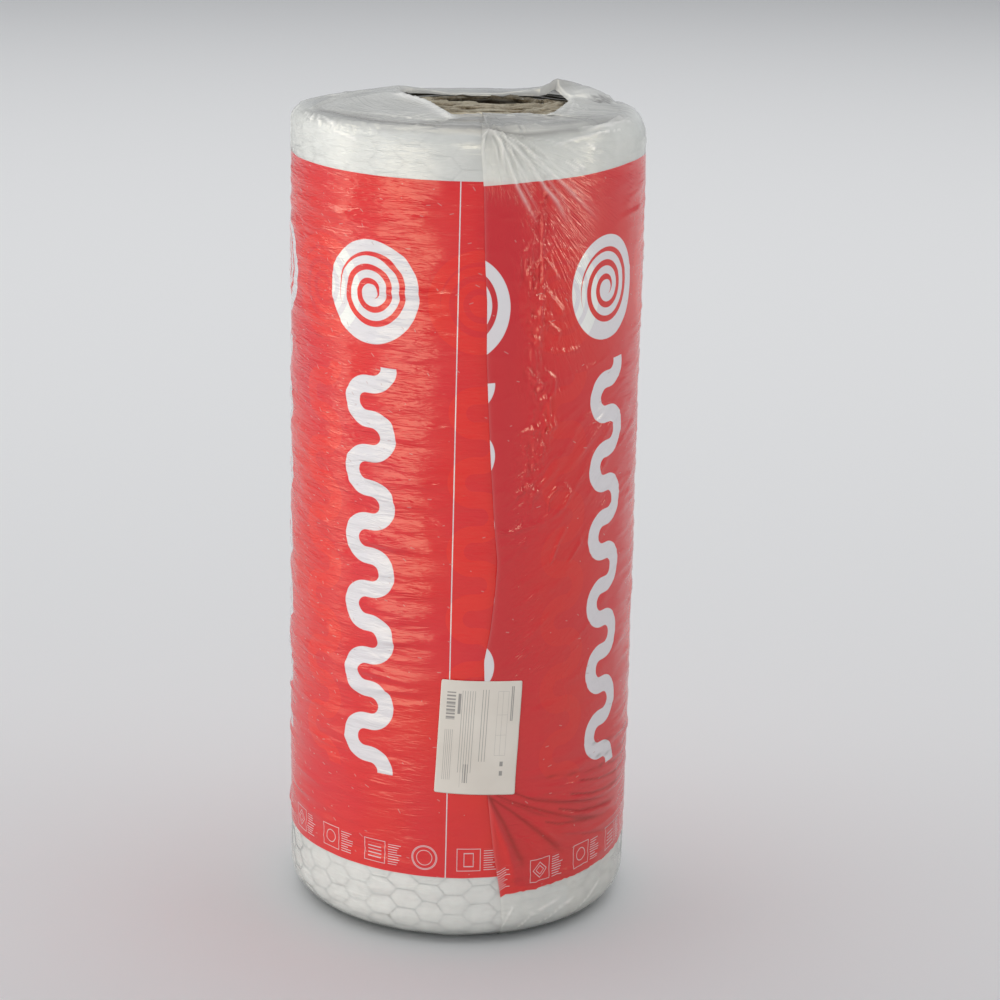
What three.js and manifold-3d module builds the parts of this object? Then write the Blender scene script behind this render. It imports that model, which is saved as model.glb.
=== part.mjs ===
// An insulation roll that stands on its end: a stone-wool mat with a foil facing, wound up tight,
// in a printed wrapping film that is shrunk over both rims, with a paper label on the film's lap.
// Millimetres, +Z up along the roll's axis, origin in the middle of the face that it stands on.
// Angles run round the axis from the front (-Y) towards +X.
import * as THREE from "three";
import { mergeVertices } from "three/addons/utils/BufferGeometryUtils.js";
import Module from "manifold-3d";

// The wound mat
const matWidth = 1000; // from end to end, which is the roll's height
const turnPitch = 28.5; // one turn of the 50 mm mat, squeezed by the winding
const turnCount = 6;
const boreRadius = 40.5; // as wound, before the core was pressed out of round
const boreRound = 6; // where the first turn's edge curls into the bore
const boreStretch = 1.5; // how much wider than round the pressed core is, along X
const boreFlattening = 0.76; // and how much narrower, along Y
const boreShift = [20, 36]; // how far the pressed core lies off the axis, to +X and to the rear
const roundFrom = 170; // the radius from which the turns are still round
const topRound = 24; // how far the film has rounded the mat's upper edge
const baseRound = 36; // and its lower edge
const seamWidth = 2.6; // the gap between two turns, at each end
const seamDepth = 9;
const rearSlip = 15; // how much lower the outer turn's edge lies at the rear of the top
const slipStart = 100; // the radius where that slope begins

// The foil facing on the outermost turn
const foilClearance = 0.3;
const foilThickness = 0.4;

// The wrapping film
const filmClearance = 0.3;
const filmThickness = 1;
const baseMouthRadius = 52; // the hole that the shrunk film leaves under the roll, below the bore
const lapThickness = 0.8; // how far the film's outer end stands proud of the layer below
const lapReach = 70; // degrees round the roll that the two ends overlap
const lapRoot = 0.5; // how deep the lap is welded into the layer below
const lapFoot = 0.35; // share of the lower rim's curve that the lap covers

// The paper label
const labelWidth = 100;
const labelHeight = 147;
const labelThickness = 0.4;
const labelClearance = 0.3;
const labelAcross = 24; // round the roll, from the front to the label's middle
const labelUp = 269; // from the floor to the label's middle
const labelTilt = -2; // degrees, top towards +X

// How finely the round forms are divided
const segmentsAround = 72;
const rimSteps = 4;
const endSteps = 4;
const spiralSteps = 30; // for each turn
const lapStepsAround = 20;
const lapStepsDown = 10;

const matRadius = boreRadius + turnCount * turnPitch;
const flatRadius = matRadius - topRound; // the top is flat as far out as this
const foilOffset = foilClearance;
const filmOffset = foilOffset + foilThickness + filmClearance;
const matBase = filmOffset + filmThickness; // the film lies between the mat and the floor
const matTop = matBase + matWidth;
const filmRadius = matRadius + filmOffset + filmThickness;

// The mouth that the shrunk film leaves on top, as plan positions round the hole and the height that
// the lip stands above the flat film. It starts at the front, and its rear corners are pulled up.
const mouthLip = new THREE.CatmullRomCurve3(
  [
    [0, -93, 1],
    [42, -88, 1],
    [84, -92, 4],
    [108, -30, 10],
    [122, 42, 25],
    [66, 78, 6],
    [0, 81, 0],
    [-48, 76, 2],
    [-84, 58, 12],
    [-50, -24, 6],
    [-26, -84, 2],
  ].map(([x, y, rise]) => new THREE.Vector3(x, y, rise)),
  true,
  "centripetal",
);

const lipBow = 0.6; // under 1, the film bellies a little between the rim and a raised lip

// The film's cut end, as heights above the floor and the angle that it has crept to there.
const lapEdge = new THREE.SplineCurve(
  [
    [0, 16],
    [62, 14.6],
    [197, 9.6],
    [369, 7.7],
    [493, 11.3],
    [739, 6.7],
    [936, 4.9],
    [1002, 3.2],
  ].map(([height, angle]) => new THREE.Vector2(height, angle)),
);

const wasm = await Module();
wasm.setup();

function solid(geometry) {
  const bare = geometry.clone();
  bare.deleteAttribute("normal");
  bare.deleteAttribute("uv");
  const merged = mergeVertices(bare, 1e-4);
  return new wasm.Manifold(
    new wasm.Mesh({
      numProp: 3,
      vertProperties: merged.attributes.position.array,
      triVerts: new Uint32Array(merged.index.array),
    }),
  );
}

function geometryOf(body) {
  const { vertProperties, triVerts } = body.getMesh();
  const geometry = new THREE.BufferGeometry();
  geometry.setAttribute("position", new THREE.BufferAttribute(vertProperties, 3));
  geometry.setIndex(new THREE.BufferAttribute(triVerts, 1));
  geometry.computeVertexNormals();
  return geometry;
}

// Each point of a geometry is handed to move, which changes it in place.
function reshape(geometry, move) {
  const positions = geometry.getAttribute("position");
  const point = new THREE.Vector3();
  for (let i = 0; i < positions.count; i += 1) {
    point.fromBufferAttribute(positions, i);
    move(point, i);
    positions.setXYZ(i, point.x, point.y, point.z);
  }
  geometry.computeVertexNormals();
  return geometry;
}

// A closed profile of [radius, height] points, turned round the roll's axis. The profile runs up
// its inner side and down its outer side, and the lathe wants it the other way round.
function turned(profile) {
  const points = profile.map(([radius, height]) => new THREE.Vector2(radius, height)).reverse();
  points.push(points[0].clone());
  return new THREE.LatheGeometry(points, segmentsAround).rotateX(Math.PI / 2);
}

// A quarter turn of a rounded edge, from one angle to the next, ends included.
function quarter(centreRadius, centreHeight, radius, fromDegrees) {
  return Array.from({ length: rimSteps + 1 }, (_, i) => {
    const angle = THREE.MathUtils.degToRad(fromDegrees - (90 * i) / rimSteps);
    return [centreRadius + radius * Math.cos(angle), centreHeight + radius * Math.sin(angle)];
  });
}

// The top end, from the middle outwards, as evenly spaced radii.
function acrossEnd(fromRadius, toRadius, height) {
  return Array.from({ length: endSteps }, (_, i) => [
    THREE.MathUtils.lerp(fromRadius, toRadius, i / endSteps),
    height,
  ]);
}

const topRim = (offset) => quarter(flatRadius, matTop - topRound, topRound + offset, 90);
const baseRim = (offset) =>
  quarter(matRadius - baseRound, matBase + baseRound, baseRound + offset, 0);

// The top's outer turns lie lower towards the rear, and all that wraps them follows.
function endDrop(x, y) {
  const radius = Math.hypot(x, y);
  if (radius <= slipStart) return 0;
  const towardsRear = (1 + y / radius) / 2;
  const outwards = (radius - slipStart) / (matRadius - slipStart);
  return rearSlip * towardsRear ** 2 * outwards ** 1.5;
}

function slip(point) {
  if (point.z > matBase + matWidth / 2) point.z -= endDrop(point.x, point.y);
}

// The wound core is pressed out of round and off the axis, and the turns outside it less and less.
function press(point) {
  const radius = Math.hypot(point.x, point.y);
  const share = THREE.MathUtils.clamp((roundFrom - radius) / (roundFrom - boreRadius), 0, 1);
  point.x = point.x * THREE.MathUtils.lerp(1, boreStretch, share) + boreShift[0] * share;
  point.y = point.y * THREE.MathUtils.lerp(1, boreFlattening, share) + boreShift[1] * share;
}

// One long strip that follows the seam between the turns, to be cut into both ends.
function seamStrip() {
  const firstAngle = -0.25; // of a turn, so that the seam opens into the bore
  const steps = Math.round((turnCount - firstAngle) * spiralSteps);
  const side = (offset) =>
    Array.from({ length: steps + 1 }, (_, i) => {
      const turn = firstAngle + i / spiralSteps;
      const radius = boreRadius + turn * turnPitch + offset;
      const angle = turn * 2 * Math.PI;
      return new THREE.Vector2(radius * Math.sin(angle), -radius * Math.cos(angle));
    });
  const outline = [...side(seamWidth / 2), ...side(-seamWidth / 2).reverse()];
  return new THREE.Shape(outline);
}

function woolMat() {
  const innerEdge = boreRadius + boreRound;
  const body = turned([
    [boreRadius, matBase + boreRound],
    [boreRadius, matTop - boreRound],
    [innerEdge, matTop],
    ...topRim(0),
    ...baseRim(0),
    [innerEdge, matBase],
  ]);
  const cutDepth = seamDepth + boreRound;
  const cutter = new THREE.ExtrudeGeometry(seamStrip(), { depth: cutDepth, bevelEnabled: false });
  const cutTop = cutter.clone().translate(0, 0, matTop - seamDepth);
  const cutBase = cutter.clone().translate(0, 0, matBase + seamDepth - cutDepth);
  const cut = solid(body).subtract(solid(cutTop)).subtract(solid(cutBase));
  return reshape(geometryOf(cut), (point) => {
    press(point);
    slip(point);
  });
}

function foilFacing() {
  const outer = foilOffset + foilThickness;
  const shell = turned([
    ...topRim(outer),
    ...baseRim(outer),
    ...baseRim(foilOffset).reverse(),
    ...topRim(foilOffset).reverse(),
  ]);
  return reshape(shell, slip);
}

// The film between the upper rim and the mouth is drawn tight from the rim to the lip.
function filmSleeve() {
  const inner = filmOffset;
  const outer = filmOffset + filmThickness;
  const mouthRadius = flatRadius / 2; // before the film is drawn to the lip's own outline
  const outside = [
    ...acrossEnd(mouthRadius, flatRadius, matTop + outer),
    ...topRim(outer),
    ...baseRim(outer),
    [baseMouthRadius, matBase - outer],
  ];
  const inside = [
    ...acrossEnd(mouthRadius, flatRadius, matTop + inner),
    ...topRim(inner),
    ...baseRim(inner),
    [baseMouthRadius, matBase - inner],
  ];
  const profile = [...outside, ...inside.reverse()];
  const rowLength = profile.length + 1;
  const sleeve = turned(profile);
  return reshape(sleeve, (point, index) => {
    const radius = Math.hypot(point.x, point.y);
    const onTop = point.z > matTop && radius < flatRadius - 1e-3;
    const atBaseMouth = point.z < matBase && radius < baseMouthRadius + 1e-3;
    if (atBaseMouth) {
      point.x += boreShift[0];
      point.y += boreShift[1];
    }
    slip(point);
    if (!onTop) return;
    const column = Math.floor(index / rowLength) % segmentsAround;
    const lip = mouthLip.getPoint(column / segmentsAround);
    const level = point.z + endDrop(point.x, point.y);
    const inwards = (flatRadius - radius) / (flatRadius - mouthRadius);
    const angle = (2 * Math.PI * column) / segmentsAround;
    point.x = THREE.MathUtils.lerp(flatRadius * Math.sin(angle), lip.x, inwards);
    point.y = THREE.MathUtils.lerp(-flatRadius * Math.cos(angle), lip.y, inwards);
    point.z = level - endDrop(point.x, point.y) + lip.z * inwards ** lipBow;
  });
}

// The film's outer end lies over its own start, from its cut edge round to the right.
function filmLap() {
  const sideTop = matTop - topRound;
  const sideBase = matBase + baseRound;
  const side = Array.from({ length: lapStepsDown - 1 }, (_, i) => [
    matRadius + filmOffset,
    THREE.MathUtils.lerp(sideTop, sideBase, (i + 1) / lapStepsDown),
  ]);
  const foot = baseRim(filmOffset).slice(0, 1 + Math.round(rimSteps * lapFoot));
  const path = [...topRim(filmOffset), ...side, ...foot];
  const centres = path.map(([, height]) => {
    if (height >= sideTop) return [flatRadius, sideTop];
    return [matRadius - baseRound, Math.max(height, sideBase)];
  });
  const stepsAlong = path.length - 1;
  const lap = new THREE.BoxGeometry(1, 1, 1, lapStepsAround, stepsAlong, 1);
  return reshape(lap, (point) => {
    const row = Math.round((0.5 - point.y) * stepsAlong);
    const [radius, height] = path[row];
    const [centreRadius, centreHeight] = centres[row];
    const around = point.x + 0.5;
    const out = filmThickness + (point.z > 0 ? lapThickness : -lapRoot);
    const outward = new THREE.Vector2(radius - centreRadius, height - centreHeight).normalize();
    const startAngle = lapEdge.getPoint(lapShare(height)).y;
    const angle = THREE.MathUtils.degToRad(startAngle + around * lapReach);
    const reach = radius + outward.x * out;
    point.set(reach * Math.sin(angle), -reach * Math.cos(angle), height + outward.y * out);
    slip(point);
  });
}

// The curve parameter at which the lap's edge has the given height.
function lapShare(height) {
  let low = 0;
  let high = 1;
  for (let i = 0; i < 24; i += 1) {
    const middle = (low + high) / 2;
    if (lapEdge.getPoint(middle).x < height) low = middle;
    else high = middle;
  }
  return low;
}

function shrinkFilm() {
  return geometryOf(solid(filmSleeve()).add(solid(filmLap())));
}

// A flat label laid round the roll, over the film's lap.
function paperLabel() {
  const sheet = new THREE.BoxGeometry(labelWidth, labelHeight, labelThickness, 12, 4, 1);
  sheet.rotateZ(THREE.MathUtils.degToRad(labelTilt));
  const innerRadius = filmRadius + lapThickness + labelClearance;
  return reshape(sheet, (point) => {
    const radius = innerRadius + labelThickness / 2 + point.z;
    const angle = (labelAcross + point.x) / filmRadius;
    point.set(radius * Math.sin(angle), -radius * Math.cos(angle), labelUp + point.y);
  });
}

const materials = {
  wool: new THREE.MeshStandardMaterial({ color: 0xa08a62, roughness: 1, metalness: 0 }),
  foil: new THREE.MeshStandardMaterial({ color: 0xc9cccd, roughness: 0.35, metalness: 1 }),
  film: new THREE.MeshStandardMaterial({ color: 0xcf3430, roughness: 0.25, metalness: 0 }),
  paper: new THREE.MeshStandardMaterial({ color: 0xd2cdc0, roughness: 0.7, metalness: 0 }),
};

function piece(name, geometry, material) {
  const mesh = new THREE.Mesh(geometry, material);
  mesh.name = name;
  return mesh;
}

const roll = new THREE.Group();
roll.add(
  piece("wool_mat", woolMat(), materials.wool),
  piece("foil_facing", foilFacing(), materials.foil),
  piece("shrink_film", shrinkFilm(), materials.film),
  piece("paper_label", paperLabel(), materials.paper),
);

export default roll;
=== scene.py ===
import math

import bpy
import numpy as np
from mathutils import Matrix, Vector


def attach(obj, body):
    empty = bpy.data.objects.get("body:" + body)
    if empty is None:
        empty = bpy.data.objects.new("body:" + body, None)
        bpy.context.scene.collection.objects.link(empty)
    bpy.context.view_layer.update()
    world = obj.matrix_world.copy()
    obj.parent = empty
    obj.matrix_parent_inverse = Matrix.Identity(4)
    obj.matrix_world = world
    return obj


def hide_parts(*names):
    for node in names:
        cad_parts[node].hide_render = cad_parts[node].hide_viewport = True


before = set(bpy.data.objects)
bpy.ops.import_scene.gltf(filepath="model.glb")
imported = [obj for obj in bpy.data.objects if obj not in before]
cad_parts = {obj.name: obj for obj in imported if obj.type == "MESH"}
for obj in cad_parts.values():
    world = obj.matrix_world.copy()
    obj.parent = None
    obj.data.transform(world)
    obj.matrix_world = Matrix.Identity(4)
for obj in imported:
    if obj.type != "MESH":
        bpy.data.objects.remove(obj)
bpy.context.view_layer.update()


# ---- The camera, the floor and the light ----
# A standing eye looks a little down at the roll, which stands in the open on a pale studio floor.
# Soft boxes and lamps high up light the roll alone, and one more lamp lights only the floor.
EYE = (0.0, -3.3897, 1.5017)
PITCH, YAW, ROLL = math.radians(16.344), math.radians(0.789), math.radians(1.187)
SENSOR, LENS = 36, 36 * 2.8262  # mm

ahead = np.array([
    math.sin(YAW) * math.cos(PITCH), math.cos(YAW) * math.cos(PITCH), -math.sin(PITCH),
])
level = np.array([math.cos(YAW), -math.sin(YAW), 0.0])
over = np.cross(level, ahead)
across = math.cos(ROLL) * level + math.sin(ROLL) * over
upwards = -math.sin(ROLL) * level + math.cos(ROLL) * over
view = bpy.data.cameras.new("view")
view.sensor_width, view.lens = SENSOR, LENS
view.sensor_fit = "HORIZONTAL"
view.clip_end = 100
eye = bpy.data.objects.new("eye", view)
turn = Matrix((across, upwards, -ahead)).transposed()
eye.matrix_world = Matrix.Translation(EYE) @ turn.to_4x4()
scene = bpy.context.scene
scene.collection.objects.link(eye)
scene.camera = eye
scene.view_settings.view_transform = "Standard"


def finish_of(name):
    """A new material, with its node tree and its shader. Nodes made later go into `tree`."""
    material = bpy.data.materials.new(name)
    material.use_nodes = True
    return material, material.node_tree, material.node_tree.nodes["Principled BSDF"]


def fed(node, inputs):
    """The node, with values or other nodes' outputs put in its inputs."""
    for key, value in inputs.items():
        if isinstance(value, Reading):
            tree.links.new(value.socket, node.inputs[key])
        elif value is not None:
            node.inputs[key].default_value = value
    return node


def joined(kind, inputs, **settings):
    """A new node of this kind."""
    node = tree.nodes.new("ShaderNode" + kind)
    for name, value in settings.items():
        setattr(node, name, value)
    return fed(node, inputs)


def maths(operation, *inputs):
    return Reading(joined("Math", dict(enumerate(inputs)), operation=operation))


class Reading:
    """A node's output: a colour, or a number that can be reckoned with."""

    def __init__(self, node, output=0):
        self.socket = node.outputs[output]

    def __add__(self, other):
        return maths("ADD", self, other)

    def __sub__(self, other):
        return maths("SUBTRACT", self, other)

    def __rsub__(self, other):
        return maths("SUBTRACT", other, self)

    def __mul__(self, other):
        return maths("MULTIPLY", self, other)

    def __truediv__(self, other):
        return maths("DIVIDE", self, other)

    def __mod__(self, other):
        return maths("FLOORED_MODULO", self, other)

    def __gt__(self, other):
        return maths("GREATER_THAN", self, other)

    def __lt__(self, other):
        return maths("LESS_THAN", self, other)

    def __abs__(self):
        return maths("ABSOLUTE", self)


def coordinates(kind):
    return Reading(joined("TexCoord", {}), kind)


def apart(place):
    """The three numbers of a place or a colour."""
    node = joined("SeparateXYZ", {0: place})
    return [Reading(node, axis) for axis in range(3)]


def noise(place, scale, detail, roughness=0.5, distortion=0.0):
    """Cloudy noise from 0 to 1."""
    return Reading(joined("TexNoise", {"Vector": place, "Scale": scale, "Detail": detail,
                                       "Roughness": roughness, "Distortion": distortion}), "Fac")


def mixed(share, first, last, kind="RGBA"):
    """The first of two colours (or numbers, kind FLOAT) where share is 0, and the last where it is 1."""
    at, output = (6, 2) if kind == "RGBA" else (2, 0)
    return Reading(joined("Mix", {0: share, at: first, at + 1: last}, data_type=kind), output)


def ramped(share, stops):
    """Colours that follow share. stops are (share, colour)."""
    node = joined("ValToRGB", {"Fac": share})
    elements = node.color_ramp.elements
    elements[0].position, elements[1].position = stops[0][0], stops[-1][0]
    for place, _ in stops[1:-1]:
        elements.new(place)
    for element, (_, colour) in zip(elements, stops):
        element.color = colour
    return Reading(node)


bpy.ops.mesh.primitive_plane_add(size=60, location=(0, 12, -0.0004))
floor = bpy.context.object
floor.name = "studio_floor"
pale, tree, shader = finish_of("pale_floor")
shade = mixed(noise(None, 0.7, 2.0), (0.86, 0.86, 0.86, 1), (0.9, 0.9, 0.9, 1))
fed(shader, {"Base Color": shade, "Roughness": 0.9})
floor.data.materials.append(pale)

SKY = ((0.0, 0.50), (0.12, 0.38), (0.32, 0.22), (0.7, 0.16))  # how bright at each height of the sky
world = bpy.data.worlds.new("studio")
world.use_nodes = True
scene.world = world
tree = world.node_tree
sky = ramped(apart(coordinates("Generated"))[2],
             [(height, (bright * 0.95, bright, bright * 1.08, 1)) for height, bright in SKY])
fed(tree.nodes["Background"], {"Color": sky})

roll_only = bpy.data.collections.new("roll_only")
floor_only = bpy.data.collections.new("floor_only")
floor_only.objects.link(floor)


def lamp(name, wide, high, power, stand, lights=roll_only, colour=(1.0, 1.0, 1.0)):
    """An area lamp, shining down its own -Z, that lights the things in one collection."""
    light = bpy.data.lights.new(name, "AREA")
    light.shape, light.size, light.size_y = "RECTANGLE", wide, high
    light.energy, light.color = power, colour
    box = bpy.data.objects.new(name, light)
    box.matrix_world = stand
    scene.collection.objects.link(box)
    box.light_linking.receiver_collection = lights


WARM = (1.0, 0.97, 0.93)
SOFT_BOXES = [
    # degrees round from the front, how far off, height of its middle, width, height, power
    (-38, 1.45, 0.62, 0.95, 1.2, 8.8, WARM),
    (-81, 1.45, 0.76, 0.42, 1.5, 2.6, WARM),
    (78, 1.6, 0.95, 0.24, 0.5, 4.0, (1.0, 1.0, 1.0)),
]
for degrees, away, height, wide, high, power, colour in SOFT_BOXES:
    back = np.array([math.sin(math.radians(degrees)), -math.cos(math.radians(degrees)), 0.0])
    upright = Matrix((np.cross((0, 0, 1), back), (0, 0, 1), back)).transposed().to_4x4()
    stand = Matrix.Translation((back[0] * away, back[1] * away, height)) @ upright
    lamp("soft_box", wide, high, power, stand, colour=colour)
# high in front, over the viewer's shoulder
tipped = Matrix.Rotation(math.radians(8), 4, "Z") @ Matrix.Rotation(math.radians(62), 4, "X")
lamp("high_key", 1.3, 1.3, 35, Matrix.Translation((0.4, -3.1, 2.25)) @ tipped)
for name, place, size, power in (
    ("high_left", (-2.24, 0.1, 2.05), 1.2, 17), ("high_right", (2.3, 0.0, 2.2), 1.0, 10),
):
    aim = (Vector(place) - Vector((0, 0, 0.9))).to_track_quat("Z", "Y").to_matrix().to_4x4()
    lamp(name, size, size, power, Matrix.Translation(place) @ aim)
lamp("overhead", 1.4, 1.4, 15, Matrix.Translation((0, 0.5, 2.6)))
lamp("floor_wash", 16, 12, 620, Matrix.Translation((0, 3.8, 6)), lights=floor_only)


# ---- The stone-wool mat ----
# A mat of stone wool, 50 mm thick and a metre wide, wound up tight from its inner end. The winding
# squeezes each turn, and the core is pressed to an oval that lies off the roll's axis.
MAT_BASE, MAT_TOP = 0.002, 1.002
BORE, TURN, TURNS = 0.0405, 0.0285, 6
OUTER = BORE + TURNS * TURN
BASE_ROUND = 0.036
SIDE_FOOT = MAT_BASE + BASE_ROUND  # where the straight side starts
BASE_END = SIDE_FOOT - BASE_ROUND * math.pi / 2  # where the base starts, counted along the round
PRESSED = 0.170  # how far out the core's pressing reaches
CORE = (0.020, 0.036)  # where the core has been pressed to
MAT_SEAM = 0.0022  # left open between two turns
MAT_START = -0.72  # in turns; the inner end is squeezed thin
FINE_TURNS = 3.4  # as far out as this the ends of the turns lie open to view


def rising(value, start, over):
    """0 up to start, and 1 from there on, with an even slope over this much in between."""
    return np.clip((value - start) / over, 0, 1)


def bell(value, wide, power=2):
    """1 where value is 0, falling off at about this width."""
    return np.exp(-np.abs(value / wide) ** power)


def eased(share):
    return share * share * (3 - 2 * share)


def upper_round(angle):
    """How far the film has rounded the upper rim: sharper on the left than on the right."""
    return 0.0235 + 0.0065 * np.sin(angle)


def pressed(x, y):
    """The core is pressed out of round and off the axis, the outer turns less and less."""
    share = 1 - rising(np.hypot(x, y), BORE, PRESSED - BORE)
    return x * (1 + 0.5 * share) + CORE[0] * share, y * (1 - 0.24 * share) + CORE[1] * share


def slipped(x, y, z):
    """The outer turns lie lower towards the rear of the top."""
    radius = np.maximum(np.hypot(x, y), 1e-6)
    outwards = np.clip((radius - 0.1) / (OUTER - 0.1), 0, None)
    drop = 0.015 * ((1 + y / radius) / 2) ** 2 * outwards ** 1.5
    return z - drop * eased(rising(z, 0.5, 0.45))


def end_height(radius, angle):
    """The height of the mat's upper end, which is rounded off at the rim."""
    edge = upper_round(angle)
    out = np.clip(radius - (OUTER - edge), 0, edge)
    return MAT_TOP - edge + np.sqrt(np.maximum(edge ** 2 - out ** 2, 0))


def base_height(radius):
    out = np.clip(radius - (OUTER - BASE_ROUND), 0, BASE_ROUND)
    return SIDE_FOOT - np.sqrt(np.maximum(BASE_ROUND ** 2 - out ** 2, 0))


def in_the_open(radius, angle, soft):
    """1 where the mat's upper end lies open in the film's mouth, 0 beyond its edge."""
    front = np.cos(angle)
    return np.clip((0.083 + 0.029 * front + 0.014 * front * front - radius) / soft, 0, 1)


def sunk_behind(x, y):
    """How much lower the inner turns' ends lie behind the core, under the film's rear lip."""
    return 0.0026 * bell(y - 0.070, 0.026, 4) * bell(x, 0.12, 8)


def mottle(across, along, cell_across, cell_along, seed, repeat=None):
    """Smooth uneven values from 0 to 1 over a surface, in patches of this size."""
    rng = np.random.default_rng(seed)
    u, v = np.broadcast_arrays(across / cell_across, along / cell_along)
    whole = 512 if repeat is None else max(1, int(round(repeat / cell_across)))
    if repeat is not None:
        u = u * (whole * cell_across / repeat)
    table = rng.random((whole, 512))
    i, j = np.floor(u).astype(int), np.floor(v).astype(int)
    s, t = eased(u - i), eased(v - j)
    near = table[i % whole, j % 512] * (1 - s) + table[(i + 1) % whole, j % 512] * s
    far = table[i % whole, (j + 1) % 512] * (1 - s) + table[(i + 1) % whole, (j + 1) % 512] * s
    return near * (1 - t) + far * t


def laid_out(name, x, y, z, u, v):
    """A grid is added flat and its points are then moved to where the sheet lies. Rows run along
    the first axis of x, y and z. The grid keeps u and v, in metres, as its map."""
    points = np.stack(np.broadcast_arrays(x, y, z), -1).astype(np.float32)
    rows, columns = points.shape[:2]
    bpy.ops.mesh.primitive_grid_add(x_subdivisions=columns - 1, y_subdivisions=rows - 1, size=1)
    sheet = bpy.context.object
    sheet.name = sheet.data.name = name
    sheet.data.vertices.foreach_set("co", points.ravel())
    corner = np.empty(len(sheet.data.loops), np.int32)
    sheet.data.loops.foreach_get("vertex_index", corner)
    spread = np.stack(np.broadcast_arrays(u, v), -1).reshape(-1, 2).astype(np.float32)
    sheet.data.uv_layers[0].data.foreach_set("uv", spread[corner].ravel())
    sheet.data.update()
    return sheet


def picked(thing):
    """Selects one object alone."""
    bpy.ops.object.select_all(action="DESELECT")
    thing.select_set(True)
    bpy.context.view_layer.objects.active = thing


def settled(sheet, merge=False, close=False):
    """Doubles are merged, ends closed with faces turned outwards, and all is shaded smooth."""
    picked(sheet)
    bpy.ops.object.mode_set(mode="EDIT")
    bpy.ops.mesh.select_all(action="SELECT")
    if merge:
        bpy.ops.mesh.remove_doubles(threshold=1e-5)
    if close:
        bpy.ops.mesh.select_all(action="DESELECT")
        bpy.ops.mesh.select_mode(type="EDGE")
        bpy.ops.mesh.select_non_manifold(extend=False, use_wire=False, use_multi_face=False,
                                         use_non_contiguous=False, use_verts=False)
        bpy.ops.mesh.fill()
        bpy.ops.mesh.select_all(action="SELECT")
        bpy.ops.mesh.normals_make_consistent(inside=False)
    bpy.ops.object.mode_set(mode="OBJECT")
    bpy.ops.object.shade_smooth()


def winding(first, last, step):
    """Places along the spiral, in turns, about one step apart."""
    places = [first]
    while places[-1] < last:
        radius = BORE + max(places[-1], 0) * TURN
        wide = step if places[-1] < FINE_TURNS else step * 2.6
        places.append(places[-1] + wide / (2 * math.pi * radius))
    places[-1] = last
    return np.array(places)


def unwound(turns):
    """How far along the flat mat these places of the spiral are, in metres."""
    radius = BORE + np.maximum(turns[1:], 0) * TURN
    return np.concatenate([[0], np.cumsum(np.diff(turns) * 2 * math.pi * radius)])


turns = winding(MAT_START, TURNS, 0.0032)
length = unwound(turns)
inner = np.maximum(BORE, BORE + turns * TURN) + MAT_SEAM / 2 * (turns > 0)
outer = np.minimum(BORE + (turns + 1) * TURN, OUTER) - MAT_SEAM / 2
inner = np.minimum(inner, outer - 0.0006)
WALL = [0.006, 0.03, 0.15, 0.35, 0.55, 0.75, 0.9, 0.955, 0.975, 0.986, 0.993, 0.9965]
# (share of the way across the mat, share of the way up it), once round its section
section = np.array(
    [(0.0, up) for up in WALL] + [(s, 1.0) for s in np.linspace(0, 1, 19)]
    + [(1.0, up) for up in WALL[::-1]] + [(s, 0.0) for s in np.linspace(1, 0, 7)] + [(0.0, WALL[0])]
)
through, up = section[:, :1], section[:, 1:]
radius = inner + (outer - inner) * through
angle = 2 * math.pi * turns
x, y = radius * np.sin(angle), -radius * np.cos(angle)
low, high = base_height(radius), end_height(radius, angle)
z = low + (high - low) * up
# the cut ends are torn and uneven, and round off a little at both faces of the mat
fuzz = sum(mottle(length, through * 0.03, long, wide, seed) * share for long, wide, seed, share in (
    (0.035, 0.012, 11, 0.9), (0.011, 0.006, 12, 0.6), (0.0045, 0.003, 13, 0.5))) - 1.0
rounded = (2 * np.abs(through - 0.5)) ** 5
near_top, near_base = rising(up, 0.985, 0.015), 1 - rising(up, 0, 0.012)
in_mouth = near_top * in_the_open(radius, angle, 0.012)
z += fuzz * (0.0030 * in_mouth + 0.0003 * near_top) - near_top * 0.0026 * rounded * (outer - inner > 0.004)
# a torn strip stands up along the inner side of each turn, where the wool has been peeled
peel = mottle(length, 0, 0.022, 1, 15) * mottle(length, 0, 0.007, 1, 16) * 2.4 - 0.45
z += in_mouth * 0.0042 * np.clip(peel, 0, 1) * bell(through - 0.13, 0.075)
# the fibres lie in thin layers, which have sprung apart here and there
layered = 1 - np.abs(2 * mottle(length, through * 0.026, 0.022, 0.0034, 17) - 1)
split = np.clip(1 - np.abs(mottle(length, through * 0.026, 0.045, 0.0046, 18) - 0.5) / 0.05, 0, 1)
z += in_mouth * (0.0030 * (layered - 0.5) - 0.0042 * split)
z -= near_base * (fuzz * 0.0008 - 0.0015 * rounded) * 0.8
bulge = (mottle(length, z, 0.05, 0.06, 14) - 0.5) * 0.0012 * np.clip(np.abs(through - 0.5) * 4 - 1, 0, 1)
x, y = pressed(x + bulge * np.sin(angle), y - bulge * np.cos(angle))
z -= near_top * sunk_behind(x, y)
# a long split runs along the turn in front of the bore
off_split = y + 0.008 + 0.2 * (x + 0.04) + 0.006 * (mottle(x + 1, 0, 0.018, 1, 19) - 0.5)
split_open = np.interp(x, [-0.085, -0.070, -0.005, 0.015], [0, 1, 1, 0])
z -= in_mouth * 0.0050 * bell(off_split, 0.0024) * split_open
z = slipped(x, y, z)
steps = np.hypot(np.diff(through[:, 0]) * 0.026, np.diff(up[:, 0]))
wool = laid_out("stone_wool_turns", x, y, z, length, np.cumsum(np.concatenate([[0], steps]))[:, None])
settled(wool, merge=True, close=True)


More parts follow.
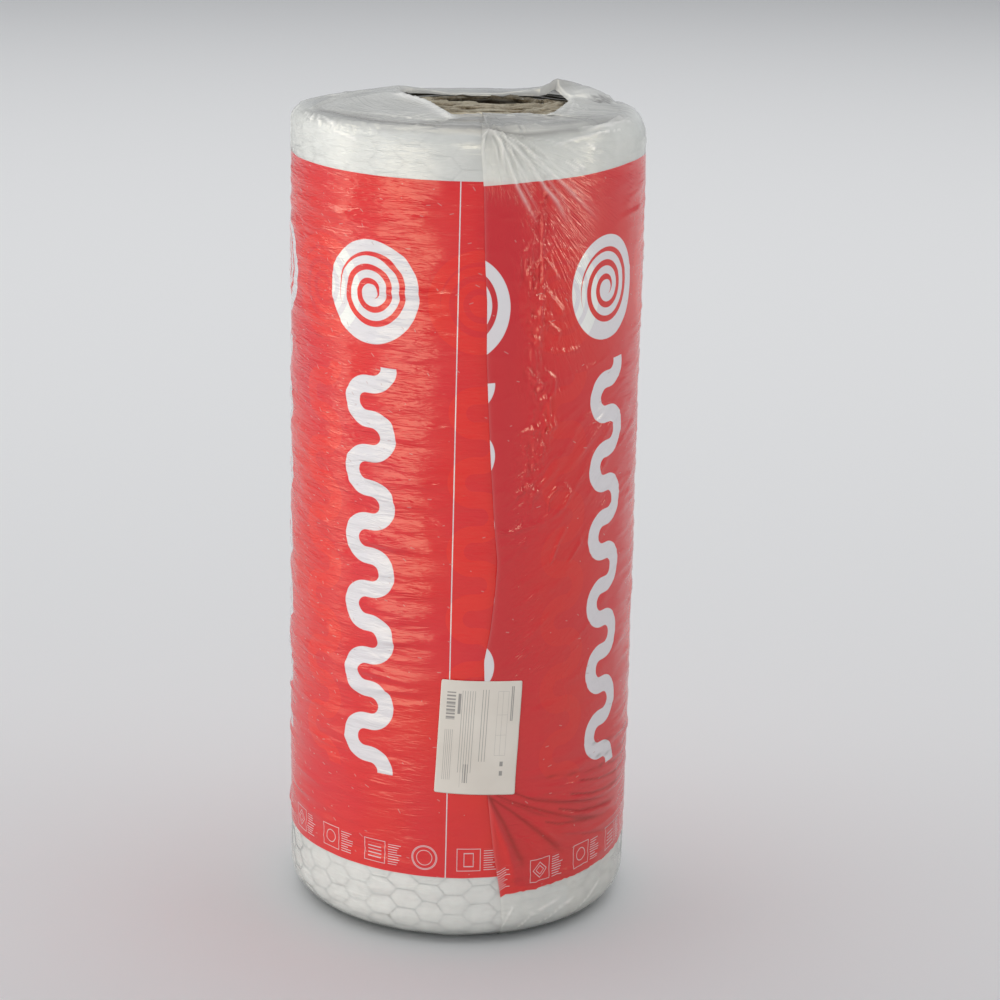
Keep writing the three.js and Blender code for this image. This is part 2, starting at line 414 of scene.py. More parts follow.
def ranged(value, low, high, first, last):
    """first where value is low, last where it is high, and even between."""
    return Reading(joined("MapRange", {0: value, 1: low, 2: high, 3: first, 4: last}))


def bumped(height, strength, distance, under=None):
    """Relief too fine for the mesh, on top of the one below."""
    inputs = {"Strength": strength, "Distance": distance, "Height": height, "Normal": under}
    return Reading(joined("Bump", inputs))


wool_finish, tree, shader = finish_of("stone_wool")
spot = coordinates("Object")
_, behind, height = apart(spot)
STRAW = (0.66, 0.60, 0.47, 1)
layers = joined("Mapping", {"Vector": Reading(joined("UVMap", {})), "Scale": (22.0, 230.0, 1.0)})
streaks = noise(Reading(layers), 1.0, 4.0, 0.65)
clumps = noise(spot, 130.0, 5.0, 0.75)
fibres = noise(spot, 620.0, 3.0, 0.8, 1.2)
brown = ramped(clumps, [(0.36, (0.055, 0.036, 0.018, 1)), (0.5, (0.20, 0.145, 0.078, 1)),
                        (0.66, (0.40, 0.32, 0.205, 1))])
coat = mixed(ranged(streaks, 0.46, 0.62, 0.0, 0.9), brown, STRAW)
coat = mixed(ranged(height, 1.0005, 1.006, 0.0, 0.8), coat, STRAW)
# paler along the mouth's front edge and down in the core, darker where the turns' ends lie sunk and under
# the rear lip: painted light and painted shade, over the fibres' own uneven tone
fibre_tone_and_painted_light = ranged(fibres, 0.3, 0.7, 0.62, 1.15) * ranged(behind, -0.090, -0.072, 1.5, 0.85)
fibre_tone_and_painted_light = fibre_tone_and_painted_light * ranged(height, 0.9966, 1.0020, 0.28, 1.0) * ranged(height, 0.988, 0.996, 2.6, 1.0)
fibre_tone_and_painted_light = fibre_tone_and_painted_light * ranged(behind, 0.050, 0.078, 1.0, 0.30)
fed(shader, {
    "Base Color": Reading(joined("VectorMath", {0: coat, "Scale": fibre_tone_and_painted_light}, operation="SCALE")),
    "Roughness": 0.95, "Specular IOR Level": 0.15,
    "Normal": bumped(fibres, 0.8, 0.0009, bumped(clumps, 0.7, 0.003)),
})
wool.data.materials.append(wool_finish)
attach(wool, "root")
roll_only.objects.link(wool)
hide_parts("wool_mat")


# ---- The foil facing ----
# Thin aluminium foil glued to the mat's outer side. It shows round the outermost turn through the
# clear margins of the film, and as crumpled edges that stand a little proud between the turns.
FOIL_PROUD, FOIL_SUNK = 0.0022, 0.0030  # how far its torn edge stands above the wool, and below it
NET_ROUND = 20  # meshes of the netting round the roll, in each of two staggered rows
NET_PITCH = 2 * math.pi * OUTER / NET_ROUND
NET_TWIST = 0.33 * NET_PITCH  # the straight twisted side of a mesh
NET_CORNER = (NET_PITCH - NET_TWIST) / 2  # from a mesh's middle to its corner
NET_RISE = 0.0128  # half a mesh's height
NET_LOW = 0.012  # how far below the mat's base its lowest row starts
NET_PULL = 0.011  # the most it is pulled out of true, from one side to the other
PUFF = 0.0006  # how far the facing bulges out in each mesh


def outer_skin(angle, rise, offset):
    """A skin over the roll's outside: its radius and height. rise runs up the side as the height
    does, and goes on round the rims and inwards over the ends."""
    edge = upper_round(angle)
    top = MAT_TOP - edge
    tilt = np.clip((rise - top) / edge, 0, math.pi / 2) \
        - np.clip((SIDE_FOOT - rise) / BASE_ROUND, 0, math.pi / 2)
    bend = np.where(rise > SIDE_FOOT, edge, BASE_ROUND)
    inwards = np.maximum(rise - top - edge * math.pi / 2, 0) + np.maximum(BASE_END - rise, 0)
    radius = OUTER - bend + (bend + offset) * np.cos(tilt) - inwards
    return radius, np.clip(rise, SIDE_FOOT, top) + (bend + offset) * np.sin(tilt)


def placed(angle, rise, offset):
    """Points of such a skin in space."""
    radius, height = outer_skin(angle, rise, offset)
    x, y = radius * np.sin(angle), -radius * np.cos(angle)
    return x, y, slipped(x, y, height)


def net_warp(u, v):
    """How far the netting is pulled out of true, along and up."""
    return [(mottle(u, v, wide, 0.05, seed, NET_PITCH * NET_ROUND) - 0.5) * NET_PULL
            for wide, seed in ((0.06, 31), (0.07, 32))]


def puffed(u, v):
    """The facing bulges out in each mesh of the netting, and lies in at its wires."""
    shift_u, shift_v = net_warp(u, v)
    u, v = u - shift_u, v - shift_v + NET_LOW
    best = 0
    for row_of, offset in ((0, 0.5), (1, 0.0)):
        row = 2 * np.round((v / NET_RISE - row_of) / 2) + row_of
        middle = (np.round(u / NET_PITCH - offset) + offset) * NET_PITCH
        up = np.abs(v / NET_RISE - row)
        aside = (np.abs(u - middle) + (NET_CORNER - NET_TWIST / 2) * up) / NET_CORNER
        best = np.maximum(best, np.clip(1 - np.maximum(up, aside) ** 2, 0, 1) ** 0.7)
    return best * PUFF


around = np.linspace(0, 2 * math.pi, 441)[None, :]
rises = np.concatenate([
    np.linspace(-0.016, 0.099, 40), np.linspace(0.105, 0.925, 34), np.linspace(0.93, 1.018, 31),
])[:, None]
dents = mottle(around * OUTER, rises, 0.009, 0.007, 21, 2 * math.pi * OUTER) - 0.5
x, y, z = placed(around, rises, dents * 0.0003 + puffed(around * OUTER, rises))
foil = laid_out("foil_facing_outside", x, y, z, around * OUTER, rises)
settled(foil, merge=True)

turns = winding(0.02, TURNS, 0.0034)
length = unwound(turns)
angle = 2 * math.pi * turns
levels = np.concatenate([
    [0.003, 0.012, 0.05], np.linspace(0.15, 0.9, 6), [0.95, 0.975, 0.987, 0.993, 0.997, 1.0, 1.003],
])[:, None]
crumple = mottle(length, levels * 3, 0.012, 0.01, 22) - 0.5
crumple = crumple + (mottle(length, levels * 2, 0.004, 0.008, 23) - 0.5) * 0.6
radius = BORE + turns * TURN
open_end = in_the_open(radius, angle, 0.010)
shreds = np.clip(mottle(length, 0, 0.012, 1, 24) * mottle(length, 0, 0.04, 1, 25) * 3.2 - 1.1, 0, 1)
torn = open_end * ((FOIL_PROUD + FOIL_SUNK) * shreds - FOIL_SUNK)
low = base_height(radius) + 0.0008
z = low + (end_height(radius, angle) + torn - low) * np.minimum(levels / 1.003, 1)
lean = crumple * rising(levels, 0.975, 0.028) * 0.0036 * open_end
radius = radius + lean + 0.0005 * (mottle(length, levels, 0.03, 0.05, 26) - 0.5)
x, y = pressed(radius * np.sin(angle), -radius * np.cos(angle))
z = slipped(x, y, z - sunk_behind(x, y) * rising(levels, 0.98, 0.01))
foil_edges = laid_out("foil_facing_turns", x, y, z, length, levels)
settled(foil_edges)

foil_finish, tree, shader = finish_of("aluminium_foil")
spot = coordinates("Object")
creases = joined("TexVoronoi", {"Vector": spot, "Scale": 95.0}, feature="DISTANCE_TO_EDGE")
dull = noise(spot, 36.0, 5.0, 0.65)
fed(shader, {
    "Base Color": mixed(dull, (0.66, 0.66, 0.63, 1), (0.92, 0.92, 0.90, 1)),
    "Roughness": ranged(dull, 0.3, 0.7, 0.36, 0.58), "Metallic": 0.30,
    "Normal": bumped(dull, 0.5, 0.001, bumped(Reading(creases, "Distance"), 0.55, 0.0012)),
})
for piece in (foil, foil_edges):
    piece.data.materials.append(foil_finish)
    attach(piece, "root")
    roll_only.objects.link(piece)
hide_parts("foil_facing")


# ---- The wire netting ----
# Galvanised hexagonal netting, stitched over the foil with its twisted wires running round the roll.
# One mesh is drawn, repeated into a flat net, and the net is wound round and over both rims.
WIRE = 0.0010
NET_OUT = 0.0006  # the middle of its wires outside the wool

bpy.ops.mesh.primitive_circle_add(vertices=6, radius=0.01, fill_type="NOTHING")
netting = bpy.context.object
twist = NET_TWIST / 2
one_mesh = [(-twist, NET_RISE, 0), (twist, NET_RISE, 0), (NET_CORNER, 0, 0),
            (twist, -NET_RISE, 0), (-twist, -NET_RISE, 0), (-NET_CORNER, 0, 0)]
netting.data.vertices.foreach_set("co", np.array(one_mesh, np.float32).ravel())
for count, step in (
    (NET_ROUND, (NET_PITCH, 0, 0)), (2, (NET_PITCH / 2, NET_RISE, 0)), (39, (0, 2 * NET_RISE, 0)),
):
    repeat = netting.modifiers.new("repeat", "ARRAY")
    repeat.count = count
    repeat.use_relative_offset, repeat.use_constant_offset = False, True
    repeat.constant_offset_displace = step
    bpy.ops.object.modifier_apply(modifier="repeat")
settled(netting, merge=True)
bpy.ops.object.mode_set(mode="EDIT")
bpy.ops.mesh.select_all(action="SELECT")
bpy.ops.mesh.subdivide(number_cuts=1)
bpy.ops.object.mode_set(mode="OBJECT")
flat = np.empty(len(netting.data.vertices) * 3, np.float32)
netting.data.vertices.foreach_get("co", flat)
flat = flat.reshape(-1, 3)[:, :2].astype(float)
flat[:, 1] += NET_RISE - NET_LOW
flat += np.stack(net_warp(flat[:, 0], flat[:, 1]), -1)
wound = np.stack(placed(flat[:, 0] / OUTER, flat[:, 1], NET_OUT), -1)
netting.data.vertices.foreach_set("co", wound.astype(np.float32).ravel())
settled(netting, merge=True)  # the two ends of the net meet
picked(netting)
bpy.ops.object.convert(target="CURVE")
netting = bpy.context.object
netting.data.bevel_depth = WIRE / 2
netting.data.bevel_resolution = 0
bpy.ops.object.convert(target="MESH")
netting = bpy.context.object
netting.name = netting.data.name = "wire_netting"

wire_finish, tree, shader = finish_of("galvanised_wire")
zinc = noise(coordinates("Object"), 300.0, 3.0)
fed(shader, {
    "Base Color": mixed(zinc, (0.17, 0.19, 0.20, 1), (0.34, 0.36, 0.37, 1)),
    "Roughness": ranged(zinc, 0, 1, 0.35, 0.6), "Metallic": 0.8,
})
netting.data.materials.clear()
netting.data.materials.append(wire_finish)
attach(netting, "root")
roll_only.objects.link(netting)


# ---- The wrapping film ----
# Milky polyethylene film, printed red between two clear margins, wound once round with its outer
# end lapping over its start, and shrunk by heat over both rims. It is gathered at a knot in front
# of the mouth that it leaves on top, and is pulled up into two peaks behind.
FILM_OUT = 0.0023  # outside the wool
FILM_SUNK = 0.0007  # the most it lies in from there, towards the foil
FILM_FOOT = 0.0003  # the least it keeps off the floor
LAP_OUT = 0.0008  # the outer end over the layer below
ROUND = 0.2127  # the radius that degrees are turned into metres with on the side
LIP_ROUND = 0.15  # and on the top
CUT = 8.0  # degrees from the front, where the outer end is cut off
REAR = 190.0  # where the two halves of the sheet's mesh meet
BEHIND = 188  # degrees past this are counted backwards from the front
BASE_HOLE = 0.052  # left open under the core
BASE_REACH = 0.123  # of film drawn in under the base
RIM_START = 0.966  # how far up the sheet its rows start to follow the rim

# round the mouth: degrees, then where the film's crest stands and how high above the flat film,
# how far its edge turns in from there and drops, all in mm, where the slope up to the crest begins
# (as a share of the way in from the rim) and whether it bellies (under 1) or hollows (over 1)
MOUTH = np.array([
    (0, 5, -100, 1.0, 3, 1.0, 0.6, 1.0),
    (15, 22, -97, 2.0, 3, 1.5, 0.6, 1.0),
    (33, 42, -97, 1.5, 3, 1.5, 0.5, 1.0),
    (48, 66, -96, 2.5, 3, 1.5, 0.4, 1.0),
    (61, 92, -113, 3.0, 3, 1.5, 0.2, 1.0),
    (72, 103, -86, 5.0, 4, 3.5, 0.1, 1.0),
    (84, 111, -58, 6.5, 5, 5.0, 0.0, 0.9),
    (98, 124, 12, 4.0, 4, 3.0, 0.0, 0.8),
    (112, 114, 22, 12.5, 4, 4.0, 0.0, 0.7),
    (122, 108.5, 33, 18.5, 5, 6.0, 0.0, 0.65),
    (131, 108, 43, 26.5, 6, 14.0, 0.0, 0.62),
    (140, 100, 57, 20.0, 7, 16.0, 0.0, 0.65),
    (150, 90, 69, 12.0, 6, 12.0, 0.0, 0.8),
    (163, 66, 80, 4.5, 5, 6.5, 0.0, 1.0),
    (180, 33, 84, 0.0, 4, 3.5, 0.0, 1.0),
    (196, 0, 84, -0.8, 4, 3.0, 0.0, 1.0),
    (213, -26, 84, -0.4, 4, 3.0, 0.0, 1.0),
    (229, -52, 80, 3.6, 5, 5.0, 0.0, 1.0),
    (245, -72, 70, 8.2, 5, 8.0, 0.0, 1.0),
    (257, -86, 57, 12.0, 6, 9.0, 0.0, 0.8),
    (268, -91, 36, 9.8, 6, 7.0, 0.05, 0.9),
    (280, -90, 16, 12.5, 6, 6.0, 0.02, 0.8),
    (295, -68, -22, 8.5, 7, 5.0, 0.15, 0.9),
    (308, -50, -56, 5.5, 7, 4.0, 0.32, 1.0),
    (320, -34, -88, 3.5, 6, 3.0, 0.45, 1.0),
    (330, -22, -108, 1.6, 4, 2.0, 0.5, 1.0),
    (345, -8, -106, 1.0, 3, 1.0, 0.6, 1.0),
])
CUT_END = np.array([  # height, degrees: how the cut end creeps about
    (-0.16, 17), (0, 16), (0.062, 14.6), (0.124, 11.9), (0.197, 9.6), (0.369, 7.7), (0.407, 9.5),
    (0.456, 10.8), (0.493, 11.3), (0.543, 10.0), (0.604, 8.8), (0.664, 7.8), (0.739, 6.7), (0.806, 6.5),
    (0.858, 5.6), (0.936, 4.9), (0.982, 3.8), (1.03, 4.6), (1.1, 9.0), (1.2, 10.0),
])

fine = np.arange(-30, 391, 1.0)
weights = np.exp(-0.5 * (np.arange(-6, 7) / 2.2) ** 2)
smooth_mouth = [
    np.convolve(np.interp(fine, MOUTH[:, 0], column, period=360), weights / weights.sum(), "same")
    for column in MOUTH[:, 1:].T
]


def right_tent(x, y):
    """The film is stretched from the right peak straight to the rim, over a hollow."""
    places = [0.108, 0.117, 0.127, 0.137, 0.147, 0.156, 0.166, 0.171, 0.176, 0.186, 0.196, 0.206]
    heights = [0, 0.0012, 0.0044, 0.0070, 0.0086, 0.0080, 0.0068, 0.0092, 0.0118, 0.0114, 0.0090, 0.0050]
    return np.interp(x, places, heights) * bell(y - 0.050 - (x - 0.12) * 0.2, 0.034)


def film_rows(side):
    """The sheet's rows from the hole in the base to the mouth, as (kind, how far along). side is how
    far up the side goes and in how many rows."""
    rows = [("base", t) for t in np.linspace(0, 1, 12)[:-1]]
    rows += [("skin", rise) for rise in np.linspace(BASE_END, SIDE_FOOT, 15)[:-1]]
    start = SIDE_FOOT
    for upto, count in side:
        rows += [("skin", rise) for rise in np.linspace(start, upto, count + 1)[:-1]]
        start = upto
    for kind, places in (("rim", np.linspace(0, 1, 27)[:-1]), ("top", np.linspace(0, 1, 40)[:-1]),
                         ("lip", np.linspace(0, 1, 6))):
        rows += [(kind, t) for t in places]
    return rows


def film_row(angle, kind, t):
    """One row of the smooth film, before its wrinkles: its points, and how far up the sheet they are."""
    edge = upper_round(angle)
    rim_end = MAT_TOP - edge + edge * math.pi / 2
    if kind == "base":
        radius, height = outer_skin(angle, BASE_END + 0 * angle, FILM_OUT)
        hole_x, hole_y = CORE[0] + BASE_HOLE * np.sin(angle), CORE[1] - BASE_HOLE * np.cos(angle)
        x = hole_x + (radius * np.sin(angle) - hole_x) * t
        y = hole_y + (-radius * np.cos(angle) - hole_y) * t
        return np.stack([x, y, height], -1), BASE_END - BASE_REACH * (1 - t) + 0 * angle
    if kind in ("skin", "rim"):
        rise = (t if kind == "skin" else RIM_START + (rim_end - RIM_START) * t) + 0 * angle
        return np.stack(placed(angle, rise, FILM_OUT), -1), rise
    crest_x, crest_y, crest_up, turn_in, turn_down, start, bow = (
        np.interp(np.degrees(angle) % 360, fine, values) for values in smooth_mouth
    )
    crest_x, crest_y, crest_up, turn_in, turn_down = (
        value / 1000 for value in (crest_x, crest_y, crest_up, turn_in, turn_down)
    )
    radius, height = outer_skin(angle, rim_end, FILM_OUT)
    rim_x, rim_y = radius * np.sin(angle), -radius * np.cos(angle)
    along = t if kind == "top" else 1.0
    x = rim_x + (crest_x - rim_x) * along
    y = rim_y + (crest_y - rim_y) * along
    z = slipped(x, y, height) + crest_up * rising(along, start, 1 - start) ** bow
    z = z + right_tent(x, y) * rising(along, 0, 0.12)
    rise = rim_end + np.hypot(crest_x - rim_x, crest_y - rim_y) * along
    if kind == "lip":
        inward_x, inward_y = 0.012 - crest_x, -0.005 - crest_y
        turned = turn_in * math.sin(t * math.pi / 2) / np.hypot(inward_x, inward_y)
        x, y = x + inward_x * turned, y + inward_y * turned
        z = z - turn_down * (1 - math.cos(t * math.pi / 2))
        rise = rise + 0.006 * t
    return np.stack([x, y, z], -1), rise


def facing(points):
    """Outward directions of a grid of points."""
    out = np.cross(np.gradient(points, axis=1), np.gradient(points, axis=0))
    return out / np.maximum(np.linalg.norm(out, axis=-1, keepdims=True), 1e-9)


def sheet_angle(columns, rise):
    """Degrees round the roll of each column at each row: the cut end creeps about."""
    creep = np.interp(rise, CUT_END[:, 0], CUT_END[:, 1]) - CUT
    return columns[None, :] + creep[:, None] * eased(1 - rising(columns, CUT, 55))


def dented(shape, places, wrinkle_list):
    """Adds wrinkles to shape. places are metres round and up; each wrinkle is its middle, its lean,
    half its length, half its width and its height."""
    u, v = places
    columns, rows = u[u.shape[0] // 2], v[:, 0]
    for middle_u, middle_v, lean, long, wide, tall in wrinkle_list:
        reach_u = abs(math.cos(lean)) * long * 2 + wide * 4
        reach_v = abs(math.sin(lean)) * long * 2 + wide * 4
        c0, c1 = np.searchsorted(columns, (middle_u - reach_u - 0.02, middle_u + reach_u + 0.02))
        r0, r1 = np.searchsorted(rows, (middle_v - reach_v, middle_v + reach_v))
        if c1 <= c0 or r1 <= r0:
            continue
        du, dv = u[r0:r1, c0:c1] - middle_u, v[r0:r1, c0:c1] - middle_v
        along = (du * math.cos(lean) + dv * math.sin(lean)) / long
        aside = (dv * math.cos(lean) - du * math.sin(lean) + 0.15 * wide * np.sin(along * 3)) / wide
        shape[r0:r1, c0:c1] += tall * np.exp(-along ** 2 - np.abs(aside) ** 1.5)
    return shape


def ridged(shape, points, lines):
    """Adds creases that run through given places. points are the film's own in space; each line is a
    list of points in space, then half its width and its height at its start and at its end."""
    flat = points.reshape(-1, 3)
    total = np.zeros(len(flat))
    for line, wide, tall_first, tall_last in lines:
        line = np.array(line)
        near = np.where(((flat > line.min(0) - 4 * wide) & (flat < line.max(0) + 4 * wide)).all(1))[0]
        if not len(near):
            continue
        best = np.full(len(near), 1e9)
        share = np.zeros(len(near))
        for k in range(len(line) - 1):
            span = line[k + 1] - line[k]
            t = np.clip(((flat[near] - line[k]) @ span) / max(span @ span, 1e-12), 0, 1)
            gap = np.linalg.norm(flat[near] - line[k] - t[:, None] * span, axis=1)
            closer = gap < best
            best[closer], share[closer] = gap[closer], ((k + t) / (len(line) - 1))[closer]
        tall = tall_first + (tall_last - tall_first) * share
        total[near] += tall * bell(best, wide * (0.55 + 0.9 * share), 1.6) * np.clip((1 - share) * 6, 0, 1)
    return shape + total.reshape(shape.shape)


def film_line(start, end, steps=9):
    """Points in space along the smooth film, from one (degrees, rise) to another."""
    line = []
    for t in np.linspace(0, 1, steps):
        a = np.array([math.radians(start[0] + (end[0] - start[0]) * t)])
        rise = start[1] + (end[1] - start[1]) * t
        (rim_end,), (crest,) = film_row(a, "top", 0.0)[1], film_row(a, "top", 1.0)[1]
        row = ("skin", rise) if rise <= rim_end else ("top", min((rise - rim_end) / (crest - rim_end), 1))
        line.append(film_row(a, *row)[0][0])
    return line


def film_path(places):
    """Points in space along the smooth film through these (degrees, rise)."""
    return [point for first, second in zip(places, places[1:]) for point in film_line(first, second, 6)]


def in_pairs(places):
    """A table's degrees and mm up the sheet, as pairs of degrees and metres."""
    return np.reshape(places, (-1, 2)) / (1, 1000)


rng = np.random.default_rng(5)


def right_lean(degrees, height):
    """Pull lines on the outer end: level below, steeper above the label, and fanned out from the
    label's lower corner."""
    if height < 0.2:
        fan = math.atan2(height - 0.205, math.radians(degrees - 2) * ROUND)
        return math.degrees(fan) + rng.uniform(-6, 6)
    pull = np.interp(height, [0.2, 0.3, 0.42, 0.6, 0.95], [2, 14, 38, 52, -60])
    return pull * np.clip((75 - degrees) / 25, 0, 1) + rng.uniform(-8, 8)


WRINKLES = [
    # how many, from and to in degrees, from and to in height, their lean in degrees, and in mm half
    # their length, half their width and their height: level ones on the left and on the rear
    (420, -88, -7, 0.32, 0.93, (-5, 5), (14, 40), (3.0, 5.6), (0.6, 1.4)),
    (85, -88, -10, 0.10, 0.36, (-5, 3), (20, 50), (2.4, 4.0), (0.6, 1.4)),
    (70, -9, 3, 0.10, 0.93, (-6, 6), (12, 30), (3.0, 5.0), (0.2, 0.6)),
    (200, -30, -11, 0.30, 0.93, (-4, 4), (18, 45), (3.0, 6.0), (0.8, 1.8)),
    (560, 95, 272, 0.10, 0.93, (-6, 6), (16, 45), (3.6, 6.2), (0.7, 1.7)),
    # on the outer end
    (300, 14, 100, 0.22, 0.72, right_lean, (12, 45), (2.2, 4.2), (0.3, 1.0)),
    (150, 60, 100, 0.10, 0.93, (-4, 8), (14, 40), (2.4, 5.0), (0.4, 1.2)),
    (120, 18, 75, 0.085, 0.24, right_lean, (14, 40), (3.0, 6.0), (0.4, 1.2)),
    # the margins
    (200, -88, 272, 0.945, 0.975, (-8, 8), (10, 30), (3.0, 6.0), (0.2, 0.7)),
    (200, -88, 272, 0.04, 0.09, (-8, 8), (10, 30), (3.0, 6.0), (0.3, 0.9)),
    (34, -80, 10, 0.028, 0.070, (-3, 6), (16, 40), (1.8, 2.6), (0.5, 1.0)),
]
side_wrinkles = []
for count, first, last, lowest, highest, lean, long, wide, tall in WRINKLES:
    for _ in range(count):
        degrees = rng.uniform(first, last)
        height = rng.uniform(lowest, highest)
        tilt = lean(degrees, height) if callable(lean) else rng.uniform(*lean)
        size = [rng.uniform(*limits) / 1000 for limits in (long, wide, tall)]
        size[2] *= rng.choice((1, 1, -0.8))  # most stand out, some lie in
        side_wrinkles.append((math.radians(degrees) * ROUND, height, math.radians(tilt), *size))
        if degrees > 150:  # also as counted backwards from the front
            side_wrinkles.append((math.radians(degrees - 360) * ROUND, *side_wrinkles[-1][1:]))

KNOT = (6.5, 1.003)
KNOT_RIDGES = [
    # where each ridge from the knot runs, in degrees and mm up the sheet, then half its width and its
    # height at its start and its end, in mm
    ((3.4, 992, 3.2, 976, 3.3, 940), 2, 2.6, 0.8),
    ((4.8, 992, 4.3, 981, 4, 970), 1.8, 2.4, 0.5),
    ((7.4, 993, 8.4, 985, 8.8, 976, 9.6, 962), 2, 2.4, 0.8),
    ((10, 989, 10.4, 976, 11.1, 965, 11.5, 948), 2.2, 3, 1),
    ((7.9, 999, 10.6, 984, 13, 962, 15, 941, 17.8, 922, 22, 895), 2.6, 4.2, 1.5),
    ((8.3, 998, 12.8, 981, 15.6, 964, 18, 947, 20, 939), 2, 3, 1),
    ((9.4, 998, 13.9, 985, 18.3, 970, 24, 938, 28.3, 920, 33, 892), 2.8, 4.6, 1.8),
    ((10.5, 998, 16.6, 986, 21.4, 972, 27.2, 951, 35, 925, 46, 890), 2.4, 3, 1.4),
    ((10.5, 999, 19.7, 993, 25.7, 989, 32.1, 981, 42, 960), 2, 1.8, 1),
    ((14, 1012, 26, 1020, 40, 1016), 2.4, 1.2, 0.6),
    ((6.8, 1030, 7.5, 1060, 9, 1090), 2.6, 1.8, 1.8),
    ((3, 1020, -2, 1045, -8, 1065), 2.6, 1.4, 1),
    ((1, 1012, -8, 1024, -20, 1034), 2.4, 1.3, 0.8),
    ((0.5, 1005, -9, 1008, -18, 1012), 2.2, 1.2, 0.5),
]
# folds that fan out from under the label's lower corner, and the bunched creases higher up
FOLDS = [
    ((9.6, 197, 11.2, 169, 12.4, 139, 13.1, 110, 14.8, 62), 2.2, 1.8, 1.4),
    ((10, 190, 12, 170, 14, 150, 16.4, 128, 18.6, 97, 19.5, 75), 4.4, 4.6, 5.2),
    ((11, 197, 17.6, 175, 24, 158, 30, 141, 36.5, 119), 3.6, 3.8, 4),
    ((12.8, 196, 20.3, 181, 26.1, 169, 34.5, 158, 46.6, 151, 59.3, 145, 74.1, 137), 2.8, 2.6, 3),
    ((13.8, 199, 26, 189, 36.6, 178, 46.4, 170, 55.3, 165, 71.5, 164), 2.6, 2, 2.8),
    ((38.8, 186, 49.1, 177, 61.3, 169, 75, 168), 2.4, 1.4, 2.6),
    ((25.9, 201, 38.7, 196, 48.9, 190, 62, 186), 2.4, 1.6, 2.2),
    ((36, 135, 47.5, 125, 55.9, 124, 74, 130), 2.8, 1.8, 2.8),
    ((20, 140, 25, 125, 30, 104), 3, 2.2, 2.4),
    ((31, 975, 36, 962, 41, 946), 1.6, 1.2, 1),
    ((34, 984, 39, 970, 45, 952), 1.6, 1.4, 1),
    ((27, 972, 32, 956, 38, 938, 44, 915), 1.6, 1.4, 1.2),
    ((40, 990, 46, 975, 52, 960), 1.6, 1.2, 0.8),
    ((21.3, 15, 25.5, 33, 31.5, 41, 37.6, 47), 2.4, 1.4, 1.2),
    ((29, 15, 36.9, 34, 43.5, 42), 2.2, 1.2, 1),
    ((15.4, 20, 17.4, 36, 19.4, 50), 2, 1, 1),
    ((43.6, 18, 51.1, 36, 57.1, 50), 2.2, 1.2, 1),
]
CREASES = [
    ((23.5, 905, 23.6, 862, 24.1, 839, 24.1, 804, 22.9, 777, 23.1, 751, 24.3, 720), 2.4, 2.6, 1.8),
    ((23.7, 849, 19.5, 845, 19.2, 838, 21.6, 826, 23, 821), 1.8, 2, 1.6),
    ((25, 853, 28.3, 838, 29.4, 826), 2, 1.8, 1.2),
    ((24.9, 820, 27.8, 806, 30.8, 793, 31.9, 783), 3, 2.2, 2.2),
    ((25.2, 781, 28.1, 773, 30.7, 765, 29.6, 758, 31.1, 753), 2, 2, 1.6),
    ((25.5, 747, 33.4, 741, 40, 744), 1.8, 1.8, 1.2),
    ((19.6, 726, 21.7, 714, 23.8, 704, 25.2, 696), 2.6, 2.6, 1.6),
    ((25.6, 722, 29.3, 711, 29, 697, 27, 686, 27.4, 674, 28.9, 662), 2.2, 2, 1.8),
    ((18.5, 648, 22.4, 653, 26.5, 646), 4.2, 2, 2.6),
    ((26.6, 646, 30.2, 658), 2.4, 2, 2),
    ((24.8, 640, 25.6, 628, 24.6, 617, 26.4, 606), 2, 1.4, 1.2),
    ((17, 574, 20.8, 583, 24.6, 568), 3.6, 1.8, 2.4),
    ((28, 551, 28.2, 563, 31.1, 579, 34.1, 580, 36.1, 569, 34.3, 555, 30.6, 545, 27.7, 537), 1.8, 1.8, 1.6),
    ((11.9, 529, 15, 527, 18.9, 533, 23.6, 536, 27.7, 539), 3, 2, 1.6),
    ((29.5, 486, 32.3, 512, 36, 530), 2.4, 1.4, 1.2),
    ((36.5, 483, 39.6, 498, 42, 509), 2.2, 1.4, 1.2),
    ((12.5, 513, 17.7, 514, 21, 511), 2, 1.2, 1),
]
# where the film sags between its pulls: the same, then half the width, the depth and how dark a painted
# shade along it is
HOLLOWS = [
    ((6, 1006, 11.6, 1001, 16.8, 997, 23.3, 998, 30.6, 1000, 38.2, 1000, 48, 1002), 6, 1.2, 1),
    ((10.1, 196, 13, 175, 15.6, 157, 17.2, 143, 19.8, 121, 21.7, 108, 22.6, 94), 3, 1.6, 0.9),
    ((11, 193, 18.2, 173, 24.7, 151, 30.3, 132, 34.8, 116, 38.2, 104), 2.6, 1.4, 0.8),
    ((12.8, 196, 20.1, 183, 28.1, 170, 34.4, 160, 43.7, 146, 52.6, 138, 62.8, 134), 1.8, 1.2, 0.9),
    ((18.4, 198, 26.1, 184, 36.2, 174, 48.9, 164, 63.5, 158), 1.8, 1.2, 0.9),
    ((35.4, 166, 43.7, 156, 51.7, 152, 68.8, 146), 1.7, 1.2, 1),
    ((30.2, 153, 35.9, 146, 41.6, 144, 55.4, 135), 1.7, 1, 0.9),
    ((40, 182, 50, 173, 60, 170, 78, 168), 1.6, 1, 1),
    ((44, 196, 54, 188, 66, 184, 80, 184), 1.6, 1, 1),
    ((52, 206, 64, 198, 82, 197), 1.5, 1, 0.9),
    ((48, 222, 62, 213, 84, 211), 1.5, 0.9, 0.8),
    ((30, 212, 44, 206, 58, 200), 1.5, 0.9, 0.6),
    ((50, 238, 66, 230, 86, 228), 1.5, 0.9, 0.7),
    ((14, 190, 22, 176, 31, 158), 1.4, 0.6, 0.5),
    ((46, 122, 58, 114, 72, 112), 1.6, 0.9, 0.6),
]
